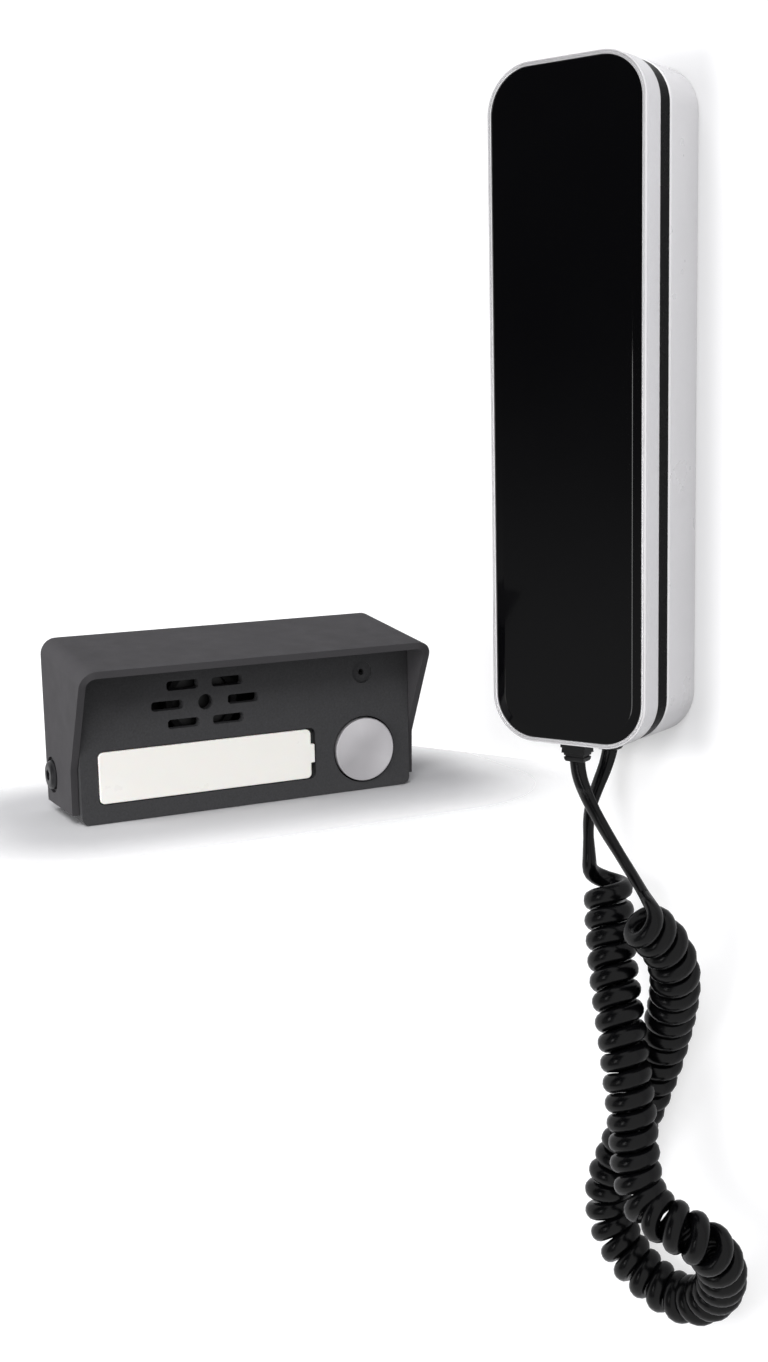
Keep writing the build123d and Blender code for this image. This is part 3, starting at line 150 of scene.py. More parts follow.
def finish(name, colour, roughness, **values):
    """A material with its shader, and the Object coordinates that its pattern reads."""
    material = bpy.data.materials.new(name)
    material.use_nodes = True
    tree = material.node_tree
    shader = tree.nodes["Principled BSDF"]
    shader.inputs["Base Color"].default_value = linear(colour)
    shader.inputs["Roughness"].default_value = roughness
    for socket, value in values.items():
        shader.inputs[socket.replace("_", " ")].default_value = value
    material.diffuse_color = linear(colour)
    place = add(tree, "ShaderNodeTexCoord").outputs["Object"]
    return material, tree, shader, place


# Span that the values of a noise texture mostly keep to
NOISE_LOW, NOISE_HIGH = 0.3, 0.7


def per_mm(size):
    """Scale of a texture whose features are size millimetres across."""
    return 1 / (size * MM)


def mottle(tree, shader, place, size, first, second, detail=2.0):
    """Lets the colour drift between two tones over patches of the given size in millimetres."""
    cloud = add(tree, "ShaderNodeTexNoise", {"Vector": place},
                {"Scale": per_mm(size), "Detail": detail, "Roughness": 0.5})
    blend = add(tree, "ShaderNodeMix", {"Factor": cloud.outputs["Fac"]}, data_type="RGBA")
    blend.inputs[6].default_value = linear(first)
    blend.inputs[7].default_value = linear(second)
    tree.links.new(blend.outputs[2], shader.inputs["Base Color"])
    return blend.outputs[2]


def grain(tree, shader, place, size, depth, strength=1.0):
    """Fine bumps, size and depth in millimetres."""
    cells = add(tree, "ShaderNodeTexNoise", {"Vector": place},
                {"Scale": per_mm(size), "Detail": 3.0, "Roughness": 0.6})
    bump = add(tree, "ShaderNodeBump", {"Height": cells.outputs["Fac"]},
               {"Distance": depth * MM, "Strength": strength})
    tree.links.new(bump.outputs["Normal"], shader.inputs["Normal"])
    return cells.outputs["Fac"]


def smudge(tree, shader, place, size, low, high):
    """Lets the roughness drift, as handling and moulding leave it."""
    cloud = add(tree, "ShaderNodeTexNoise", {"Vector": place},
                {"Scale": per_mm(size), "Detail": 4.0, "Roughness": 0.55})
    span = add(tree, "ShaderNodeMapRange", {"Value": cloud.outputs["Fac"]},
               {"From Min": NOISE_LOW, "From Max": NOISE_HIGH, "To Min": low, "To Max": high})
    tree.links.new(span.outputs["Result"], shader.inputs["Roughness"])


# Silver-painted ABS under clear lacquer: fine metal flakes give a soft bright sheen
silver_paint, tree, shader, place = finish(
    "silver_lacquered_abs", "#F0EFF1", 0.3, Metallic=0.1, Coat_Weight=0.3, Coat_Roughness=0.12)
mottle(tree, shader, place, 1.0, "#EFEEF0", "#F2F1F3", 1.0)  # flakes, drawn coarser than the real 0.05 mm
smudge(tree, shader, place, 14, 0.26, 0.34)

# Bright chrome-look lacquer of the handset's frame: mirrors its surroundings in narrow lines
bright_paint, tree, shader, place = finish(
    "bright_silver_lacquer", "#E6E5E7", 0.2, Metallic=0.7, Coat_Weight=0.5, Coat_Roughness=0.05)
mottle(tree, shader, place, 1.0, "#E4E3E5", "#E8E7E9", 1.0)
smudge(tree, shader, place, 18, 0.18, 0.25)

# Polished black acrylic: deep black, with only a weak mirror of the room
black_gloss, tree, shader, place = finish(
    "polished_black_acrylic", "#040405", 0.05, Specular_IOR_Level=0.4)
mottle(tree, shader, place, 40, "#030304", "#050506")
smudge(tree, shader, place, 30, 0.04, 0.08)

# Black moulded ABS, kept nearly without shine, so that the band between frame and base is a dark line
black_abs, tree, shader, place = finish("black_moulded_abs", "#030304", 0.3, Specular_IOR_Level=0.03)
mottle(tree, shader, place, 9, "#030304", "#060607")
smudge(tree, shader, place, 6, 0.22, 0.34)

# Charcoal ABS, spark-eroded tool: matt with a fine even grain
charcoal_abs, tree, shader, place = finish(
    "charcoal_textured_abs", "#3D3D3F", 0.62, Specular_IOR_Level=0.12)
mottle(tree, shader, place, 0.6, "#363637", "#454547", 3.0)
grain(tree, shader, place, 0.6, 0.06)  # the real grain is about 0.3 mm, drawn coarser to show
smudge(tree, shader, place, 5, 0.56, 0.7)

# The hood's charcoal ABS: drawn a shade lighter than the housing's as painted light, for the light its roof
# and cheeks take; finer in grain and with even less shine
charcoal_hood, tree, shader, place = finish("charcoal_hood_abs", "#434244", 0.62, Specular_IOR_Level=0.03)
mottle(tree, shader, place, 12, "#414042", "#464547", 3.0)
grain(tree, shader, place, 0.5, 0.04)
smudge(tree, shader, place, 7, 0.54, 0.66)

# Opal acrylic name window: milky off-white, a little warm, with a soft gloss
opal_acrylic, tree, shader, place = finish(
    "opal_acrylic", "#F8F5F0", 0.3, Subsurface_Weight=0.1, Subsurface_Scale=0.002)
mottle(tree, shader, place, 25, "#F7F4EF", "#FAF7F2")
smudge(tree, shader, place, 10, 0.26, 0.36)

# Card: matt white pressed paper
white_card, tree, shader, place = finish("white_card_stock", "#F0EFEA", 0.85, Specular_IOR_Level=0.2)
mottle(tree, shader, place, 0.8, "#EDECE7", "#F3F2EE", 4.0)
grain(tree, shader, place, 0.25, 0.01)

# Satin nickel plating, spun, with a painted reflection in its colour: light gathers in two soft fans about
# the middle of the button. The painted tones stand at shares of a full turn about it, and run together at
# the middle.
BUTTON_SHEEN_TONES = (
    (0.0, "#BEBCBF"), (0.1, "#AAA8AB"), (0.24, "#B2B0B3"), (0.42, "#C9C7CA"),
    (0.62, "#BDBBBE"), (0.78, "#CFCDD0"), (0.92, "#C6C4C7"),
)
satin_nickel, tree, shader, place = finish("satin_nickel_painted_sheen", "#BDBBBE", 0.36, Metallic=0.75)
centre = ON_STATION @ Vector((BUTTON_X, BUTTON_FRONT, BUTTON_Z))
middle = add(tree, "ShaderNodeMapping", {"Vector": place}, vector_type="TEXTURE")
middle.inputs["Location"].default_value = centre
middle.inputs["Rotation"].default_value = (Matrix.Rotation(STATION_TURN, 4, "Z")
                                           @ Matrix.Rotation(pi / 2, 4, "X")).to_euler()
# Painted reflection: fans of lighter and darker tone drawn into the base colour, fading to an even tone at
# the middle
fan = add(tree, "ShaderNodeTexGradient", {"Vector": middle.outputs["Vector"]}, gradient_type="RADIAL")
tones = add(tree, "ShaderNodeValToRGB", {"Fac": fan.outputs["Fac"]})
for position, colour in BUTTON_SHEEN_TONES:
    stop = tones.color_ramp.elements.new(position) if position else tones.color_ramp.elements[0]
    stop.color = linear(colour)
tones.color_ramp.elements[-1].color = linear(BUTTON_SHEEN_TONES[0][1])
reach = add(tree, "ShaderNodeVectorMath", {0: middle.outputs["Vector"]}, operation="LENGTH")
away = add(tree, "ShaderNodeMapRange", {"Value": reach.outputs["Value"]},
           {"From Min": 0.5 * MM, "From Max": 8.5 * MM}, interpolation_type="SMOOTHSTEP")
plated = add(tree, "ShaderNodeMix", {"Factor": away.outputs["Result"], 7: tones.outputs["Color"]},
             {6: linear("#B4B2B5")}, data_type="RGBA")
tree.links.new(plated.outputs[2], shader.inputs["Base Color"])
# Turning marks: the wave node turns by 20 radians to a unit, so its rings lie 3.1 mm apart, far coarser
# than real ones, and only stir the gloss
rings = add(tree, "ShaderNodeTexWave", {"Vector": middle.outputs["Vector"]},
            {"Scale": 100.0, "Distortion": 0.0}, wave_type="RINGS", rings_direction="Z")
turned = add(tree, "ShaderNodeBump", {"Height": rings.outputs["Fac"]},
             {"Distance": 0.004 * MM, "Strength": 0.6})
tree.links.new(turned.outputs["Normal"], shader.inputs["Normal"])

# Zinc-plated steel: grey metal with a faint cloudiness
zinc_steel, tree, shader, place = finish("zinc_plated_steel", "#A9ABAD", 0.34, Metallic=1.0)
mottle(tree, shader, place, 1.5, "#A2A4A6", "#B2B4B6", 3.0)
smudge(tree, shader, place, 2, 0.28, 0.42)

# Blackened steel of the side screws: dark, oily half-gloss
black_steel, tree, shader, place = finish("blackened_steel", "#2A2A2C", 0.34, Metallic=0.6)
mottle(tree, shader, place, 1.2, "#222224", "#323234", 3.0)
smudge(tree, shader, place, 1.5, 0.26, 0.42)

# Black nitrile rubber: dull, with a dusty bloom
black_rubber, tree, shader, place = finish("black_nitrile_rubber", "#0B0B0C", 0.8, Specular_IOR_Level=0.2)
mottle(tree, shader, place, 3, "#09090A", "#0E0E0F")
grain(tree, shader, place, 0.3, 0.02)

# Cord jacket, extruded soft PVC: black satin, bright only in small spots on each turn
cord_pvc, tree, shader, place = finish("black_soft_pvc", "#050506", 0.22, Specular_IOR_Level=0.2)
mottle(tree, shader, place, 5, "#030304", "#060607")
grain(tree, shader, place, 0.9, 0.012, 0.7)
smudge(tree, shader, place, 3, 0.19, 0.27)

# Grey and dark moulded nylon of jacks and switches
grey_nylon, tree, shader, place = finish("grey_moulded_nylon", "#8C8E90", 0.45)
mottle(tree, shader, place, 2, "#87898B", "#929496")
black_nylon, tree, shader, place = finish("black_moulded_nylon", "#0C0C0D", 0.42, Specular_IOR_Level=0.3)
mottle(tree, shader, place, 2, "#0A0A0B", "#0F0F10")
grain(tree, shader, place, 0.4, 0.01)

# Circuit board: green solder mask over glass weave, which shows as a faint check
circuit_board, tree, shader, place = finish("green_solder_mask", "#1E5A3A", 0.35, Coat_Weight=0.3)
weave = add(tree, "ShaderNodeTexChecker", {"Vector": place}, {"Scale": per_mm(0.6)})
weave.inputs["Color1"].default_value = linear("#1C5637")
weave.inputs["Color2"].default_value = linear("#20603E")
tree.links.new(weave.outputs["Color"], shader.inputs["Base Color"])

# The door station's board is drawn black as painted shade, so that nothing shines through its grille and
# its inside reads dark
grille_shade_board, tree, shader, place = finish("black_board_painted_shade", "#0B0E0C", 0.45, Specular_IOR_Level=0.3)
mottle(tree, shader, place, 1.2, "#090C0A", "#0E120F")

# Deep-drawn aluminium of the capsules: satin metal
drawn_aluminium, tree, shader, place = finish("drawn_aluminium", "#C2C3C5", 0.3, Metallic=1.0)
mottle(tree, shader, place, 1, "#BDBEC0", "#C8C9CB")
smudge(tree, shader, place, 2, 0.24, 0.36)


# Shaping

def depth_edges(bm):
    """Edges that run through a piece's depth."""
    return [e for e in bm.edges if abs((e.verts[0].co - e.verts[1].co).y) > 1e-4]


def soften(bm, edges, radius, segments=3):
    """Rounds edges; radius in millimetres."""
    return bmesh.ops.bevel(bm, geom=list(edges), offset=radius, segments=segments, profile=0.5,
                           affect="EDGES", material=-1, clamp_overlap=True)


def block(width, height, near, far, x=0.0, z=0.0, radius=0.0, segments=8):
    """Upright block, near and far being its places in depth, with rounded corners in its outline."""
    bm = bmesh.new()
    bmesh.ops.create_cube(bm, size=1)
    bmesh.ops.scale(bm, vec=(width, far - near, height), verts=bm.verts)
    bmesh.ops.translate(bm, vec=(x, (near + far) / 2, z), verts=bm.verts)
    if radius:
        soften(bm, depth_edges(bm), radius, segments)
    return bm


def slab(outline, near, far):
    """Flat piece of the given outline, near and far being its places in depth."""
    bm = bmesh.new()
    face = bm.faces.new([bm.verts.new((x, near, z)) for x, z in outline])
    grown = bmesh.ops.extrude_face_region(bm, geom=[face])["geom"]
    corners = [g for g in grown if isinstance(g, bmesh.types.BMVert)]
    bmesh.ops.translate(bm, vec=(0, far - near, 0), verts=corners)
    return bm


def disc(diameter, near, far, x=0.0, z=0.0, segments=64):
    """Cylinder with its axis through the wall's depth."""
    bm = bmesh.new()
    bmesh.ops.create_cone(bm, cap_ends=True, segments=segments, radius1=diameter / 2,
                          radius2=diameter / 2, depth=far - near)
    bmesh.ops.rotate(bm, matrix=Matrix.Rotation(pi / 2, 3, "X"), verts=bm.verts)
    bmesh.ops.translate(bm, vec=(x, (near + far) / 2, z), verts=bm.verts)
    return bm


def cap(bm, direction):
    """The largest face that looks that way."""
    bm.normal_update()
    facing = [f for f in bm.faces if f.normal.dot(Vector(direction)) > 0.99]
    return max(facing, key=lambda f: f.calc_area())


FRONT, BACK = (0, -1, 0), (0, 1, 0)


def sink(bm, face, margin, depth):
    """Presses a pocket into a face, or raises it for a negative depth, and returns its floor."""
    bmesh.ops.inset_region(bm, faces=[face], thickness=margin, use_even_offset=True)
    floor = bmesh.ops.extrude_discrete_faces(bm, faces=[face])["faces"][0]
    bm.normal_update()
    bmesh.ops.translate(bm, vec=-floor.normal * depth, verts=floor.verts)
    return floor


def mesh_of(name, bm):
    """Mesh of a shaped piece, whose bmesh is then done with."""
    mesh = bpy.data.meshes.new(name)
    bm.to_mesh(mesh)
    bm.free()
    return mesh


def hold(name, bm, where):
    """Object of a shaped piece, set into the frame."""
    bmesh.ops.transform(bm, matrix=where, verts=bm.verts)
    bmesh.ops.recalc_face_normals(bm, faces=bm.faces)
    return put(name, mesh_of(name, bm))


def carve(target, tool, operation="DIFFERENCE"):
    """Cuts a piece with another one, or joins the two, and does away with the tool."""
    change = target.modifiers.new("carve", "BOOLEAN")
    change.operation = operation
    change.solver = "EXACT"
    change.object = tool
    settle(target)
    bpy.data.objects.remove(tool)


def settle(target):
    """Makes a piece's modifiers part of its mesh."""
    bpy.context.view_layer.update()
    evaluated = target.evaluated_get(bpy.context.evaluated_depsgraph_get())
    mesh = bpy.data.meshes.new_from_object(evaluated)
    target.modifiers.clear()
    target.data = mesh


def complete(made, material, body, nodes, edge=0.0, segments=2, angle=32):
    """Softens a piece's edges, sets its shading and finish, and puts it on its body."""
    if edge:
        rounding = made.modifiers.new("edge", "BEVEL")
        rounding.width = edge * MM
        rounding.segments = segments
        rounding.limit_method = "ANGLE"
        rounding.angle_limit = radians(angle)
        rounding.use_clamp_overlap = True
    made.data.shade_smooth()
    made.data.set_sharp_from_angle(angle=radians(angle))
    weighting = made.modifiers.new("flat_faces", "WEIGHTED_NORMAL")
    weighting.keep_sharp = True
    weighting.weight = 80
    settle(made)
    made.data.materials.clear()
    made.data.materials.append(material)
    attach(made, body)
    if nodes:
        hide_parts(*nodes)
    return made


def refined(node, name, material, body, edge=0.0):
    """Merged copy of a CAD piece, with soft edges and even shading."""
    bm = bmesh.new()
    bm.from_mesh(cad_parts[node].data)
    bmesh.ops.remove_doubles(bm, verts=bm.verts, dist=1e-5)
    bmesh.ops.dissolve_degenerate(bm, edges=bm.edges, dist=1e-5)
    bmesh.ops.dissolve_limit(bm, angle_limit=radians(1), verts=bm.verts, edges=bm.edges)
    return complete(put(name, mesh_of(name, bm)), material, body, [node], edge)


# Curly cord

# The cord's route in metres: down in front, out to the right, back, and up behind. Each point was picked on
# the photograph and given a depth, and was then carried into the frame through the camera. The hidden
# stretches are a guess.
CURL_ROUTE = [
    (0.0034, -0.0150, -0.1443), (0.0071, -0.0200, -0.1678), (0.0122, -0.0260, -0.1846),
    (0.0186, -0.0310, -0.2058), (0.0226, -0.0330, -0.2299), (0.0240, -0.0340, -0.2440),
    (0.0283, -0.0350, -0.2540), (0.0400, -0.0365, -0.2574), (0.0494, -0.0330, -0.2621),
    (0.0506, -0.0240, -0.2744), (0.0438, -0.0140, -0.2899), (0.0323, -0.0100, -0.2982),
    (0.0209, -0.0098, -0.2960), (0.0103, -0.0098, -0.2895), (0.0022, -0.0098, -0.2781),
    (0.0007, -0.0098, -0.2643), (0.0084, -0.0098, -0.2457), (0.0143, -0.0100, -0.2308),
    (0.0197, -0.0100, -0.2165), (0.0246, -0.0120, -0.2015), (0.0300, -0.0180, -0.1867),
    (0.0326, -0.0240, -0.1751), (0.0308, -0.0300, -0.1646), (0.0270, -0.0380, -0.1574),
]
CURL_RADIUS = 0.0057
CURL_TURNS = 52
# Stretch over which the curls begin to turn, and how much slower they turn where the route bends
CURL_LEAD = 0.018
CURL_BEND_ROOM = 0.15
# Sides of the route on which the wire comes in and goes out
CURL_FIRST_SIDE, CURL_LAST_SIDE = (-0.814, -0.581, 0.022), (0.616, 0.553, 0.555)
# Fineness: step along the route, steps to either side over which its bend is evened out, points in a turn,
# and points in the stretch where the curls begin
ROUTE_STEP, BEND_REACH, TURN_POINTS, LEAD_POINTS = 0.0002, 40, 22, 40
# The flat jacket, and how much wider and thicker the wire looks in the curls, from a short run on
WIRE_WIDTH, WIRE_THICKNESS = 0.0054, 0.0036
CURL_WIDENING, CURL_THICKENING, THICKENING_RUN = 0.0007, 0.0016, 0.012
BASE_EXIT = (0.0, -0.006, -0.1112)
HANDSET_EXIT = (0.0, -0.0282, -0.1112)
BASE_TAIL_MIDDLE = [(-0.0008, -0.0065, -0.1160), (-0.0028, -0.0100, -0.1240)]
HANDSET_TAIL_MIDDLE = [
    (0.0002, -0.0282, -0.1155), (0.0040, -0.0290, -0.1230), (0.0105, -0.0306, -0.1315),
]
BASE_TAIL_RUN = 0.007
HANDSET_TAIL_RUN = 0.008


def spline_line(points):
    """Points read from a smooth spline that has the given control points."""
    curve = bpy.data.curves.new("route", "CURVE")
    curve.dimensions = "3D"
    curve.resolution_u = 24
    spline = curve.splines.new("NURBS")
    spline.points.add(len(points) - 1)
    for point, place in zip(spline.points, points):
        point.co = (*place, 1.0)
    spline.order_u = 3
    spline.use_endpoint_u = True
    holder = bpy.data.objects.new("route", curve)
    mesh = bpy.data.meshes.new_from_object(holder)
    line = np.array([tuple(v.co) for v in mesh.vertices])
    bpy.data.objects.remove(holder)
    bpy.data.curves.remove(curve)
    bpy.data.meshes.remove(mesh)
    return line


def distances(line):
    """Way along a line to each of its points."""
    return np.concatenate(([0], np.cumsum(np.linalg.norm(np.diff(line, axis=0), axis=1))))


def read_at(line, ways, places):
    """Points of a line at the given places, ways being the way to each of its own points."""
    return np.stack([np.interp(places, ways, line[:, axis]) for axis in range(3)], axis=1)


def directions(line):
    """Direction of a line at each of its points."""
    ahead = np.gradient(line, axis=0)
    return ahead / np.linalg.norm(ahead, axis=1)[:, None]


def carried(ahead, first):
    """A direction across a line, carried along it without twist."""
    across, sides = np.array(first, float), []
    for direction in ahead:
        across = across - direction * across.dot(direction)
        across /= np.linalg.norm(across)
        sides.append(across)
    return np.array(sides)


def angle_towards(wanted, ahead, side):
    """Angle about a line at which the wire lies on the wanted side of it."""
    return np.arctan2(np.dot(wanted, np.cross(ahead, side)), np.dot(wanted, side))


def curl(route):
    """Middle line of the curled wire, and the direction from the route to it, at even turns."""
    ways = distances(route)
    places = np.arange(0, ways[-1], ROUTE_STEP)
    route = read_at(route, ways, places)
    ahead = directions(route)
    side = carried(ahead, (0, 1, 0))
    bend = np.linalg.norm(np.gradient(ahead, axis=0), axis=1) / np.gradient(places)
    window = np.ones(2 * BEND_REACH + 1) / (2 * BEND_REACH + 1)
    bend = np.convolve(np.pad(bend, BEND_REACH, mode="edge"), window, "valid")
    lead = np.clip(places / CURL_LEAD, 0, 1)
    rate = (1 - CURL_BEND_ROOM * CURL_RADIUS * bend) * lead**2 * (3 - 2 * lead)
    first = angle_towards(CURL_FIRST_SIDE, ahead[0], side[0])
    last = angle_towards(CURL_LAST_SIDE, ahead[-1], side[-1])
    turns = CURL_TURNS + (last - first) / (2 * pi) % 1
    turned = np.cumsum(rate)
    turned = (turned - turned[0]) * 2 * pi * turns / (turned[-1] - turned[0])
    angle = (first + turned)[:, None]
    outward = np.cos(angle) * side + np.sin(angle) * np.cross(ahead, side)
    wire = route + CURL_RADIUS * outward
    leading = np.linspace(0, CURL_LEAD, LEAD_POINTS)[:-1]
    lead_in = read_at(wire, places, leading)
    lead_out = read_at(outward, places, leading)
    begun = np.interp(CURL_LEAD, places, turned)
    even = np.linspace(begun, turned[-1], round(turns * TURN_POINTS))
    return (np.vstack([lead_in, read_at(wire, turned, even)]),
            np.vstack([lead_out, read_at(outward, turned, even)]))


def flat_to(line, thin, first):
    """Carries the flat side back along a free stretch, turned evenly to face a given way at its start."""
    ahead = directions(line)
    flat = carried(ahead[::-1], thin)[::-1]
    start = flat[0]
    wanted = np.array(first) - ahead[0] * ahead[0].dot(first)
    wanted /= np.linalg.norm(wanted)
    turn = np.arctan2(np.cross(start, wanted).dot(ahead[0]), start.dot(wanted))
    turn = (turn + pi / 2) % pi - pi / 2
    share = 1 - distances(line) / distances(line)[-1]
    angle = (turn * share)[:, None]
    return np.cos(angle) * flat + np.sin(angle) * np.cross(ahead, flat)


def flat_tube(name, line, thin, widths, thicknesses, sides=12):
    """Wire of oval section along a line; thin is the direction across its flat side at each point."""
    bm = bmesh.new()
    corner = bm.verts.layers.int.new("corner")
    ring = bmesh.ops.create_circle(bm, cap_ends=True, segments=sides, radius=0.5)["verts"]
    section = []
    for index, vertex in enumerate(ring):
        vertex[corner] = index
        section.append(vertex.co.copy())
    edges = list(bm.edges)
    ahead = directions(line)
    for step, place in enumerate(line):
        if step:
            grown = bmesh.ops.extrude_edge_only(bm, edges=edges)["geom"]
            ring = [g for g in grown if isinstance(g, bmesh.types.BMVert)]
            own = set(ring)
            edges = [g for g in grown if isinstance(g, bmesh.types.BMEdge)
                     and g.verts[0] in own and g.verts[1] in own]
        wide = np.cross(ahead[step], thin[step])
        wide /= np.linalg.norm(wide)
        across = np.cross(wide, ahead[step])
        for vertex in ring:
            at = section[vertex[corner]]
            vertex.co = place + wide * at.x * widths[step] + across * at.y * thicknesses[step]
    bmesh.ops.contextual_create(bm, geom=edges)
    bmesh.ops.recalc_face_normals(bm, faces=bm.faces)
    mesh = mesh_of(name, bm)
    mesh.shade_smooth()
    mesh.materials.append(cord_pvc)
    return put(name, mesh)


coil_line, coil_outward = curl(spline_line(CURL_ROUTE))
coil_ahead = directions(coil_line)
curl_start = coil_line[0] - coil_ahead[0] * WIRE_WIDTH
curl_end = coil_line[-1] + coil_ahead[-1] * WIRE_WIDTH

base_tail = spline_line([BASE_EXIT, *BASE_TAIL_MIDDLE,
                         tuple(curl_start - coil_ahead[0] * BASE_TAIL_RUN), tuple(curl_start)])
base_flat = flat_to(base_tail, coil_outward[0], (0, 1, 0))
line = np.vstack([base_tail, coil_line, [curl_end]])
thin = np.vstack([base_flat, coil_outward, coil_outward[-1:]])
eased = np.clip((distances(line) - distances(base_tail)[-1]) / THICKENING_RUN, 0, 1)
eased = np.minimum(eased, np.clip((distances(line)[-1] - distances(line)) / THICKENING_RUN, 0, 1))
widths = WIRE_WIDTH + CURL_WIDENING * eased
thicknesses = WIRE_THICKNESS + CURL_THICKENING * eased
coil = flat_tube("curly_cord", line, thin, widths, thicknesses, sides=14)
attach(coil, "wall_set")
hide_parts("cord_coil", "cord_tail_base")

handset_tail = spline_line([HANDSET_EXIT, *HANDSET_TAIL_MIDDLE,
                            tuple(curl_end + coil_ahead[-1] * HANDSET_TAIL_RUN), tuple(curl_end)])
handset_flat = flat_to(handset_tail, coil_outward[-1], (0, 1, 0))
tail = flat_tube("handset_cord_tail", handset_tail, handset_flat,
                 np.full(len(handset_tail), WIRE_WIDTH), np.full(len(handset_tail), WIRE_THICKNESS))
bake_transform(tail)
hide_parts("cord_tail_handset")


# Handset

# Outline, and the distances from the wall of the face, the frame's back edge and the band's back edge
SET_WIDTH, SET_HEIGHT, CORNER = 54.8, 210.0, 15.0
FACE, LIP_START, BAND_BACK = 35.0, 26.0, 19.05
PANEL_MARGIN, PANEL_BACK, PANEL_BED = 1.6, 32.5, 2.5
BEVEL_WIDTH, BEVEL_DEPTH = 2.9, 0.45
FRAME_WALL, FRAME_HOLLOW = 1.5, 5.0
BAND_MARGIN, BAND_WALL = 0.3, 1.1
# The frame's rim from its outer edge inwards: width of each step, its rise, and the rounding after it
RIM_ROUNDING = 0.5
RIM_STEPS = (
    (0.62, 0.0, 0.12), (0.06, -0.3, 0.0), (0.14, 0.0, 0.0), (0.06, 0.3, 0.12), (0.62, 0.0, 0.28),
)

# Acrylic front with a ground bevel round its edge, which catches its own line of light
bm = block(SET_WIDTH - 2 * PANEL_MARGIN, SET_HEIGHT - 2 * PANEL_MARGIN, BEVEL_DEPTH - FACE, -PANEL_BACK,
           radius=CORNER - PANEL_MARGIN, segments=16)
flat = cap(bm, FRONT)
bmesh.ops.inset_region(bm, faces=[flat], thickness=BEVEL_WIDTH, use_even_offset=True)
bmesh.ops.translate(bm, vec=(0, -BEVEL_DEPTH, 0), verts=flat.verts)
soften(bm, flat.edges, 0.3, 2)
panel = hold("front_panel_acrylic", bm, ON_WALL)
complete(panel, black_gloss, "handset", ["front_panel"], edge=0.12, angle=50)

# Frame: a tray with a rounded rim, the panel glued in from the front
bm = block(SET_WIDTH, SET_HEIGHT, -FACE, -LIP_START, radius=CORNER, segments=18)
flat = cap(bm, FRONT)
loops = [(RIM_ROUNDING, 4, list(flat.edges))]
for inward, rise, rounding in RIM_STEPS:
    bmesh.ops.inset_region(bm, faces=[flat], thickness=inward, depth=rise, use_even_offset=True)
    if rounding:
        loops.append((rounding, 3, list(flat.edges)))
floor = bmesh.ops.extrude_discrete_faces(bm, faces=[flat])["faces"][0]
bmesh.ops.translate(bm, vec=(0, PANEL_BED, 0), verts=floor.verts)
sink(bm, cap(bm, BACK), FRAME_WALL, FRAME_HOLLOW)
for radius, segments, edges in loops:
    soften(bm, edges, radius, segments)
tray = hold("handset_frame_tray", bm, ON_WALL)
plug_mouth = hold("plug_mouth", block(9.3, 3.0, -31.5, -24.9, z=-104.2), ON_WALL)
carve(tray, plug_mouth)
complete(tray, bright_paint, "handset", ["handset_frame"], edge=0.15)

# Black band that shows between frame and base, a little set back from both
bm = block(SET_WIDTH - 2 * BAND_MARGIN, SET_HEIGHT - 2 * BAND_MARGIN, -LIP_START, -BAND_BACK,
           radius=CORNER - BAND_MARGIN, segments=18)
sink(bm, cap(bm, FRONT), BAND_WALL, 2.0)
sink(bm, cap(bm, BACK), BAND_WALL, 2.0)
bmesh.ops.delete(bm, geom=[cap(bm, FRONT), cap(bm, BACK)], context="FACES_ONLY")
band = hold("handset_band", bm, ON_WALL)
complete(band, black_abs, "handset", [], edge=0.2)

refined("handset_rear_shell", "handset_rear_shell_moulded", black_abs, "handset", 0.2)
refined("unlock_button", "unlock_button_cap", grey_nylon, "unlock_button", 0.2)
refined("handset_screws", "handset_screw_pair", zinc_steel, "handset", 0.1)


# The plug from its nose down: width and thickness of each section, and the way down to it. A drop of
# nothing makes a shoulder.
PLUG_NOSE, PLUG_NOSE_HEIGHT = (7.6, 5.8, 10.0), -100.0
PLUG_SECTIONS = (
    (9.0, 6.4, 0.0), (9.0, 6.4, 1.7), (8.0, 6.2, 0.0), (8.4, 6.2, 1.7),
    (7.2, 5.2, 0.0), (7.2, 5.2, 0.8), (6.4, 4.6, 0.0), (6.4, 4.6, 0.5),
    (7.2, 5.2, 0.0), (7.0, 5.0, 0.9), (6.2, 4.4, 0.6),
)


def plug(name, depth, body, node):
    """Modular plug: nose in the jack, a shouldered collar below, and a ribbed neck about the cord."""
    bm = bmesh.new()
    bmesh.ops.create_cube(bm, size=1)
    bmesh.ops.scale(bm, vec=PLUG_NOSE, verts=bm.verts)
    bmesh.ops.translate(bm, vec=(0, -depth, PLUG_NOSE_HEIGHT), verts=bm.verts)
    below = cap(bm, (0, 0, -1))
    for width, thick, drop in PLUG_SECTIONS:
        grown = bmesh.ops.extrude_discrete_faces(bm, faces=[below])["faces"][0]
        middle = grown.calc_center_median()
        low = min(v.co.x for v in grown.verts), min(v.co.y for v in grown.verts)
        high = max(v.co.x for v in grown.verts), max(v.co.y for v in grown.verts)
        growth = (width / (high[0] - low[0]), thick / (high[1] - low[1]), 1)
        bmesh.ops.translate(bm, vec=-middle, verts=grown.verts)
        bmesh.ops.scale(bm, vec=growth, verts=grown.verts)
        bmesh.ops.translate(bm, vec=middle - Vector((0, 0, drop)), verts=grown.verts)
        below = grown
    made = hold(name, bm, ON_WALL)
    return complete(made, black_nylon, body, [node], edge=0.3)


plug("handset_cord_plug", 28.2, "handset", "handset_plug")
plug("base_cord_plug", 6.0, "wall_set", "base_plug")


# Base

refined("base_shell", "base_shell_lacquered", silver_paint, "wall_set")
refined("base_back", "base_back_plate", grey_nylon, "wall_set", 0.2)
refined("base_screws", "base_screw_set", zinc_steel, "wall_set", 0.1)
refined("hook_plunger", "hook_plunger_pin", grey_nylon, "hook_plunger", 0.2)


# Door station

STATION_DEPTH = 28.8
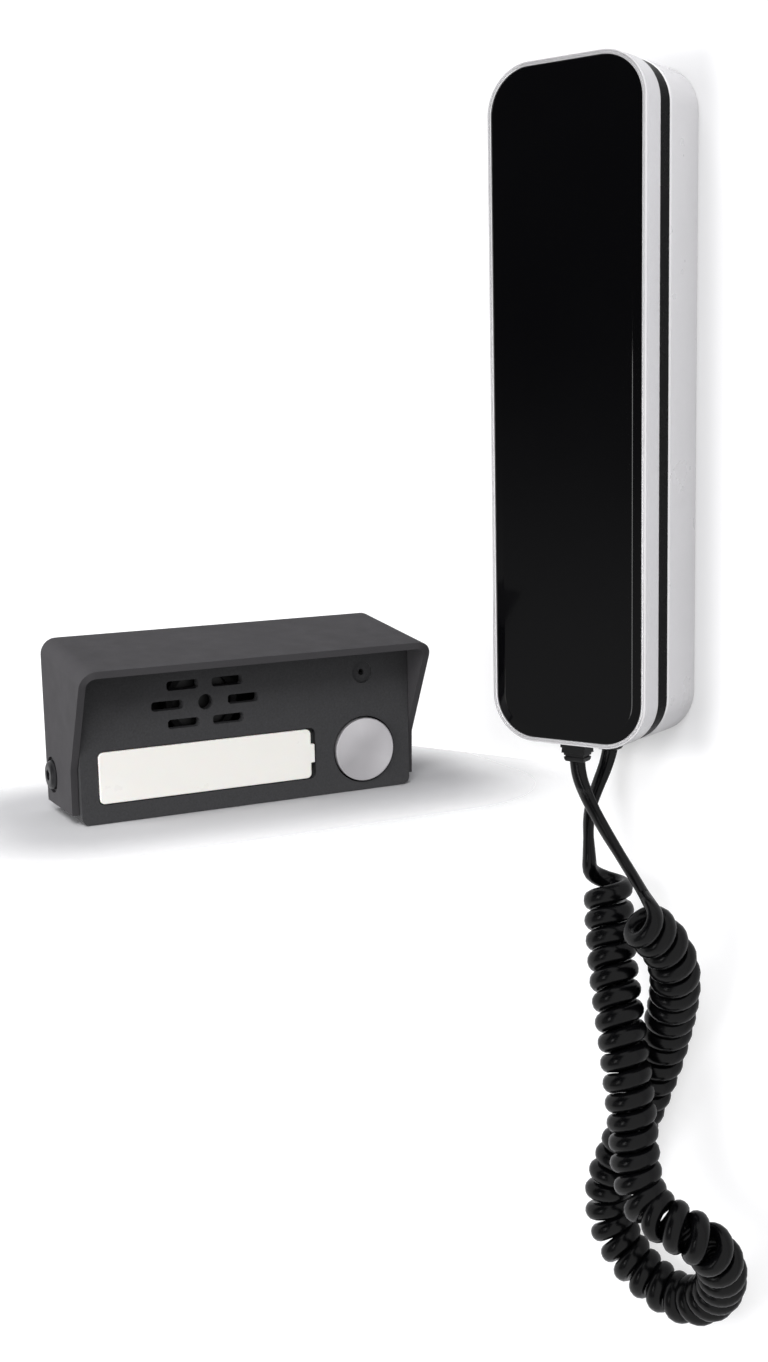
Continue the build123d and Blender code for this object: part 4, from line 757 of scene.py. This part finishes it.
# Rain hood: how far it stands out, the roof's height at the wall, its fall to the front, and its sheet
HOOD_WIDTH, HOOD_REACH, HOOD_ROOF, HOOD_DROP = 115.1, 13.2, 53.85, 5.5
HOOD_FOOT, HOOD_SHEET, HOOD_CORNER = 3.0, 2.2, 5.0
# The cheeks' front edge runs from the roof in to their bend, and from there almost straight down
CHEEK_BEND, BEND_FRONT, FOOT_FRONT = 17.0, 2.0, 2.6
# Side screws: depth and height of their place, and the sizes of recess, head, stem and socket
SCREW_DEPTH, SCREW_HEIGHT = 22.8, 12.0
SCREW_RECESS, SCREW_HEAD, SCREW_STEM, SCREW_SOCKET = 11.2, 9.2, 3.6, 3.6

refined("station_housing", "station_housing_moulded", charcoal_abs, "wall_set", 0.35)
refined("station_back", "station_back_plate", charcoal_abs, "wall_set", 0.3)

# Rain hood: one bent sheet, a sloping roof and two cheeks that narrow towards the foot
bm = block(HOOD_WIDTH, HOOD_ROOF - HOOD_FOOT, -HOOD_REACH, STATION_DEPTH, z=(HOOD_ROOF + HOOD_FOOT) / 2)
bmesh.ops.bisect_plane(bm, geom=[*bm.verts, *bm.edges, *bm.faces], plane_co=(0, 0, CHEEK_BEND),
                       plane_no=(0, 0, 1))
for vertex in bm.verts:
    if vertex.co.y < 0:
        if vertex.co.z < CHEEK_BEND - 1:
            vertex.co.y = FOOT_FRONT
        elif vertex.co.z < CHEEK_BEND + 1:
            vertex.co.y = BEND_FRONT
        else:
            vertex.co.z = HOOD_ROOF - HOOD_DROP
bm.normal_update()
roof_edges = [e for e in depth_edges(bm) if min(v.co.z for v in e.verts) > HOOD_ROOF - HOOD_DROP - 1]
soften(bm, roof_edges, HOOD_CORNER, 10)
bm.normal_update()
# Front, back and foot are open
open_sides = [f for f in bm.faces if abs(f.normal.x) < 0.02 and f.normal.z < 0.9]
bmesh.ops.delete(bm, geom=open_sides, context="FACES")
hood = hold("rain_hood", bm, ON_STATION)
wall_of_hood = hood.modifiers.new("wall", "SOLIDIFY")
wall_of_hood.thickness = HOOD_SHEET * MM
wall_of_hood.offset = -1
wall_of_hood.use_even_offset = True
settle(hood)
for hand in (-1, 1):
    bm = disc(SCREW_RECESS, -1.0, 1.0)
    bmesh.ops.rotate(bm, matrix=Matrix.Rotation(pi / 2, 3, "Z"), verts=bm.verts)
    bmesh.ops.translate(bm, vec=(hand * HOOD_WIDTH / 2, SCREW_DEPTH, SCREW_HEIGHT), verts=bm.verts)
    carve(hood, hold("recess", bm, ON_STATION))
complete(hood, charcoal_hood, "wall_set", ["station_hood"], edge=0.6, segments=3)

# Side screws: round heads with a six-sided socket
for number, hand in enumerate((-1, 1)):
    bm = disc(SCREW_HEAD, -2.4, 0.0, segments=48)
    soften(bm, cap(bm, FRONT).edges, 1.6, 5)
    head = hold("side_screw", bm, Matrix.Identity(4))
    stem = hold("stem", disc(SCREW_STEM, -0.5, 7.5, segments=32), Matrix.Identity(4))
    carve(head, stem, "UNION")
    carve(head, hold("socket", disc(SCREW_SOCKET, -3.0, -0.9, segments=6), Matrix.Identity(4)))
    seat = (Matrix.Translation((hand * (HOOD_WIDTH / 2 - 1.0), SCREW_DEPTH, SCREW_HEIGHT))
            @ Matrix.Rotation(hand * pi / 2, 4, "Z"))
    head.data.transform(ON_STATION @ seat)
    head.name = f"side_screw_{number + 1}"
    complete(head, black_steel, "wall_set", ["side_screws"], edge=0.12)

# Name window with its prising tab
left, right, low, high = -49.5, 20.1, 6.0, 21.8
tab_low, tab_high, tab_end = 10.9, 16.9, right + 1.3
bm = slab((
    (left, low), (right, low), (right, tab_low), (tab_end, tab_low),
    (tab_end, tab_high), (right, tab_high), (right, high), (left, high),
), -0.3, 1.6)
corners = [e for e in depth_edges(bm) if min(abs(e.verts[0].co.z - z) for z in (low, high)) < 0.01]
soften(bm, corners, 1.6, 6)
window = hold("name_window", bm, ON_STATION)
complete(window, opal_acrylic, "wall_set", ["name_cover"], edge=0.3, segments=3)

# Call button: spun cap over two lugs and a stem
bm = disc(BUTTON_DIAMETER, BUTTON_FRONT, 4.75, BUTTON_X, BUTTON_Z, segments=96)
soften(bm, cap(bm, FRONT).edges, 0.45, 4)
button = hold("call_button_cap", bm, ON_STATION)
lugs = hold("lugs", block(25.0, 8.0, 3.55, 4.75, BUTTON_X, BUTTON_Z, 1.0, 4), ON_STATION)
carve(button, lugs, "UNION")
stem = hold("stem", disc(5.0, 4.0, 7.95, BUTTON_X, BUTTON_Z, 32), ON_STATION)
carve(button, stem, "UNION")
complete(button, satin_nickel, "call_button", ["call_button"], edge=0.1)


# Pieces inside, which keep their CAD meshes and are given their finish alone

INSIDE = {
    "earpiece_capsule": drawn_aluminium,
    "microphone_boot": black_rubber,
    "handset_microphone": drawn_aluminium,
    "unlock_switch": black_nylon,
    "handset_pcb": circuit_board,
    "handset_jack": black_nylon,
    "base_jack": black_nylon,
    "base_pcb": circuit_board,
    "hook_switch": black_nylon,
    "buzzer": black_nylon,
    "base_terminals": grey_nylon,
    "name_card": white_card,
    "call_switch": black_nylon,
    "speaker_gasket": black_rubber,
    "station_speaker": black_nylon,
    "station_mic_boot": black_rubber,
    "station_microphone": drawn_aluminium,
    "station_pcb": grille_shade_board,
    "station_terminals": grey_nylon,
}
for node, material in INSIDE.items():
    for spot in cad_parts[node].material_slots:
        spot.material = material


# Wall and shelf

# Share of the stage's lift that gloss and metal see
MIRRORED_LIFT = 0.3


def stage_paint(name, colour, middle, turn, half_size, span, low, high, fading):
    """Pale paint lifted by a glow that the camera sees, from low to high over a span of distances from a
    turned box.

    The weaker glow near the object is painted shade about it, and keeps its shadows there; views from
    behind see through the paint. Fading paint also turns clear over that span, so that it hides nothing
    farther off.
    """
    material = bpy.data.materials.new(name)
    material.use_nodes = True
    tree = material.node_tree
    tree.nodes.clear()
    place = add(tree, "ShaderNodeTexCoord").outputs["Object"]
    box = add(tree, "ShaderNodeMapping", {"Vector": place},
              {"Location": middle, "Rotation": (0, 0, turn)}, vector_type="TEXTURE")
    away = add(tree, "ShaderNodeVectorMath", {0: box.outputs[0]}, operation="ABSOLUTE")
    away = add(tree, "ShaderNodeVectorMath", {0: away.outputs[0]}, {1: half_size}, operation="SUBTRACT")
    away = add(tree, "ShaderNodeVectorMath", {0: away.outputs[0]}, operation="MAXIMUM")
    away = add(tree, "ShaderNodeVectorMath", {0: away.outputs[0]}, operation="LENGTH")
    share = add(tree, "ShaderNodeMapRange", {"Value": away.outputs["Value"]},
                {"From Min": span[0], "From Max": span[1]}, interpolation_type="SMOOTHSTEP")
    share = share.outputs["Result"]
    # Less glow near the object: painted shade about it
    lifted = add(tree, "ShaderNodeMapRange", {"Value": share}, {"To Min": low, "To Max": high})
    ray = add(tree, "ShaderNodeLightPath")
    mirrored = add(tree, "ShaderNodeMath", {0: ray.outputs["Is Glossy Ray"]}, {1: MIRRORED_LIFT},
                   operation="MULTIPLY")
    seen = add(tree, "ShaderNodeMath", {0: ray.outputs["Is Camera Ray"], 1: mirrored.outputs[0]},
               operation="MAXIMUM")
    shown = add(tree, "ShaderNodeMath", {0: lifted.outputs["Result"], 1: seen.outputs[0]},
                operation="MULTIPLY")
    lift = add(tree, "ShaderNodeEmission", {"Strength": shown.outputs[0]})
    paint = add(tree, "ShaderNodeBsdfDiffuse", values={"Color": linear(colour)})
    both = add(tree, "ShaderNodeAddShader", {0: paint.outputs[0], 1: lift.outputs[0]})
    clear = add(tree, "ShaderNodeBsdfTransparent")
    through = add(tree, "ShaderNodeNewGeometry").outputs["Backfacing"]
    if fading:
        through = add(tree, "ShaderNodeMath", {0: through, 1: share}, operation="MAXIMUM").outputs[0]
    side = add(tree, "ShaderNodeMixShader", {0: through, 1: both.outputs[0], 2: clear.outputs[0]})
    add(tree, "ShaderNodeOutputMaterial", {"Surface": side.outputs[0]})
    return material


# The wall's lift starts at the base's outline, and the shelf's a little way off the station's; the weaker
# lift within is painted shade about them
wall_paint = stage_paint("stage_wall_paint", "#B0B0B2", (0.0, 0.0, 0.0), 0.0, (0.0274, 1.0, 0.105),
                         (0.0, 0.014), 0.35, 0.65, False)
shelf_paint = stage_paint("stage_shelf_paint", "#C6C6C8", ON_STATION @ Vector((0, STATION_DEPTH / 2, 0)),
                          STATION_TURN, (0.055, 0.0144, 1.0), (0.012, 0.062), 0.0, 0.1, True)


def stage_piece(name, bm, material):
    """A shaped piece of the stage, which is no part of the object."""
    mesh = mesh_of(name, bm)
    mesh.materials.append(material)
    made = put(name, mesh)
    return made


def sheet_of_stage(name, width, height, matrix, material):
    """A flat sheet of the stage, in its own plane before the matrix places it."""
    bm = bmesh.new()
    bmesh.ops.create_grid(bm, x_segments=1, y_segments=1, size=0.5)
    bmesh.ops.scale(bm, vec=(width, height, 1), verts=bm.verts)
    bmesh.ops.transform(bm, matrix=matrix, verts=bm.verts)
    return stage_piece(name, bm, material)


def seen_only_by(made, *rays):
    """Leaves a stage piece visible to these kinds of ray alone."""
    for kind in ("camera", "diffuse", "glossy", "transmission", "shadow", "volume_scatter"):
        setattr(made, "visible_" + kind, kind in rays)


# The wall is open behind the base, so that light reaches its back. A grid's normal looks along +Z, so it
# is turned to look out of the wall, along -Y, and stands a hair behind the base.
WALL_OPENING = (0.022, 0.100)
bm = bmesh.new()
bmesh.ops.create_grid(bm, x_segments=3, y_segments=3, size=1.5)
for vertex in bm.verts:
    for axis, half in enumerate(WALL_OPENING):
        if abs(vertex.co[axis]) < 1:
            vertex.co[axis] = np.copysign(half, vertex.co[axis])
opening = min(bm.faces, key=lambda face: face.calc_center_median().length)
bmesh.ops.delete(bm, geom=[opening], context="FACES_ONLY")
bmesh.ops.transform(bm, matrix=Matrix.Translation((0, 0.0004, 0)) @ Matrix.Rotation(pi / 2, 4, "X"),
                    verts=bm.verts)
stage_piece("stage_wall", bm, wall_paint)

# The ground under the door station, with its shadow. It is small, so that it hides nothing of the cord.
shelf = sheet_of_stage("stage_shelf", 218.0, 150.0,
                       ON_STATION @ Matrix.Translation((0, STATION_DEPTH / 2, -0.2)), shelf_paint)
seen_only_by(shelf, "camera")

def glowing(name, strength):
    """A material that only gives off light, with its nodes and its emission."""
    material = bpy.data.materials.new(name)
    material.use_nodes = True
    tree = material.node_tree
    tree.nodes.clear()
    glow = add(tree, "ShaderNodeEmission", values={"Strength": strength})
    add(tree, "ShaderNodeOutputMaterial", {"Surface": glow.outputs[0]})
    return material, tree, glow


# A dark card to the left in front, which only mirrors see: it keeps the acrylic deep black, and is paler
# towards its foot, as the panel is in the photograph
card_material, tree, glow = glowing("graded_dark_card", 0.0)
height = add(tree, "ShaderNodeSeparateXYZ", {"Vector": add(tree, "ShaderNodeTexCoord").outputs["Object"]})
fade = add(tree, "ShaderNodeMapRange", {"Value": height.outputs["Z"]},
           {"From Min": -0.32, "From Max": 0.1, "To Min": 0.28, "To Max": 0.03},
           interpolation_type="SMOOTHSTEP")
tree.links.new(fade.outputs["Result"], glow.inputs["Strength"])
card = sheet_of_stage("stage_dark_card", 1.3, 2.2,
                      Matrix.Translation((-0.45, -1.0, 0.2)) @ Matrix.Rotation(radians(-30), 4, "Z")
                      @ Matrix.Rotation(-pi / 2, 4, "X"), card_material)
seen_only_by(card, "glossy")

# A narrow light in front of it, also for mirrors alone: it draws the line along the panel's bevel and
# the small highlights on the cord
strip = sheet_of_stage("stage_strip_light", 0.11, 0.38,
                       Matrix.Translation((-0.29, -0.98, -0.14)) @ Matrix.Rotation(-pi / 2, 4, "X"),
                       glowing("strip_light", 5.0)[0])
seen_only_by(strip, "glossy")
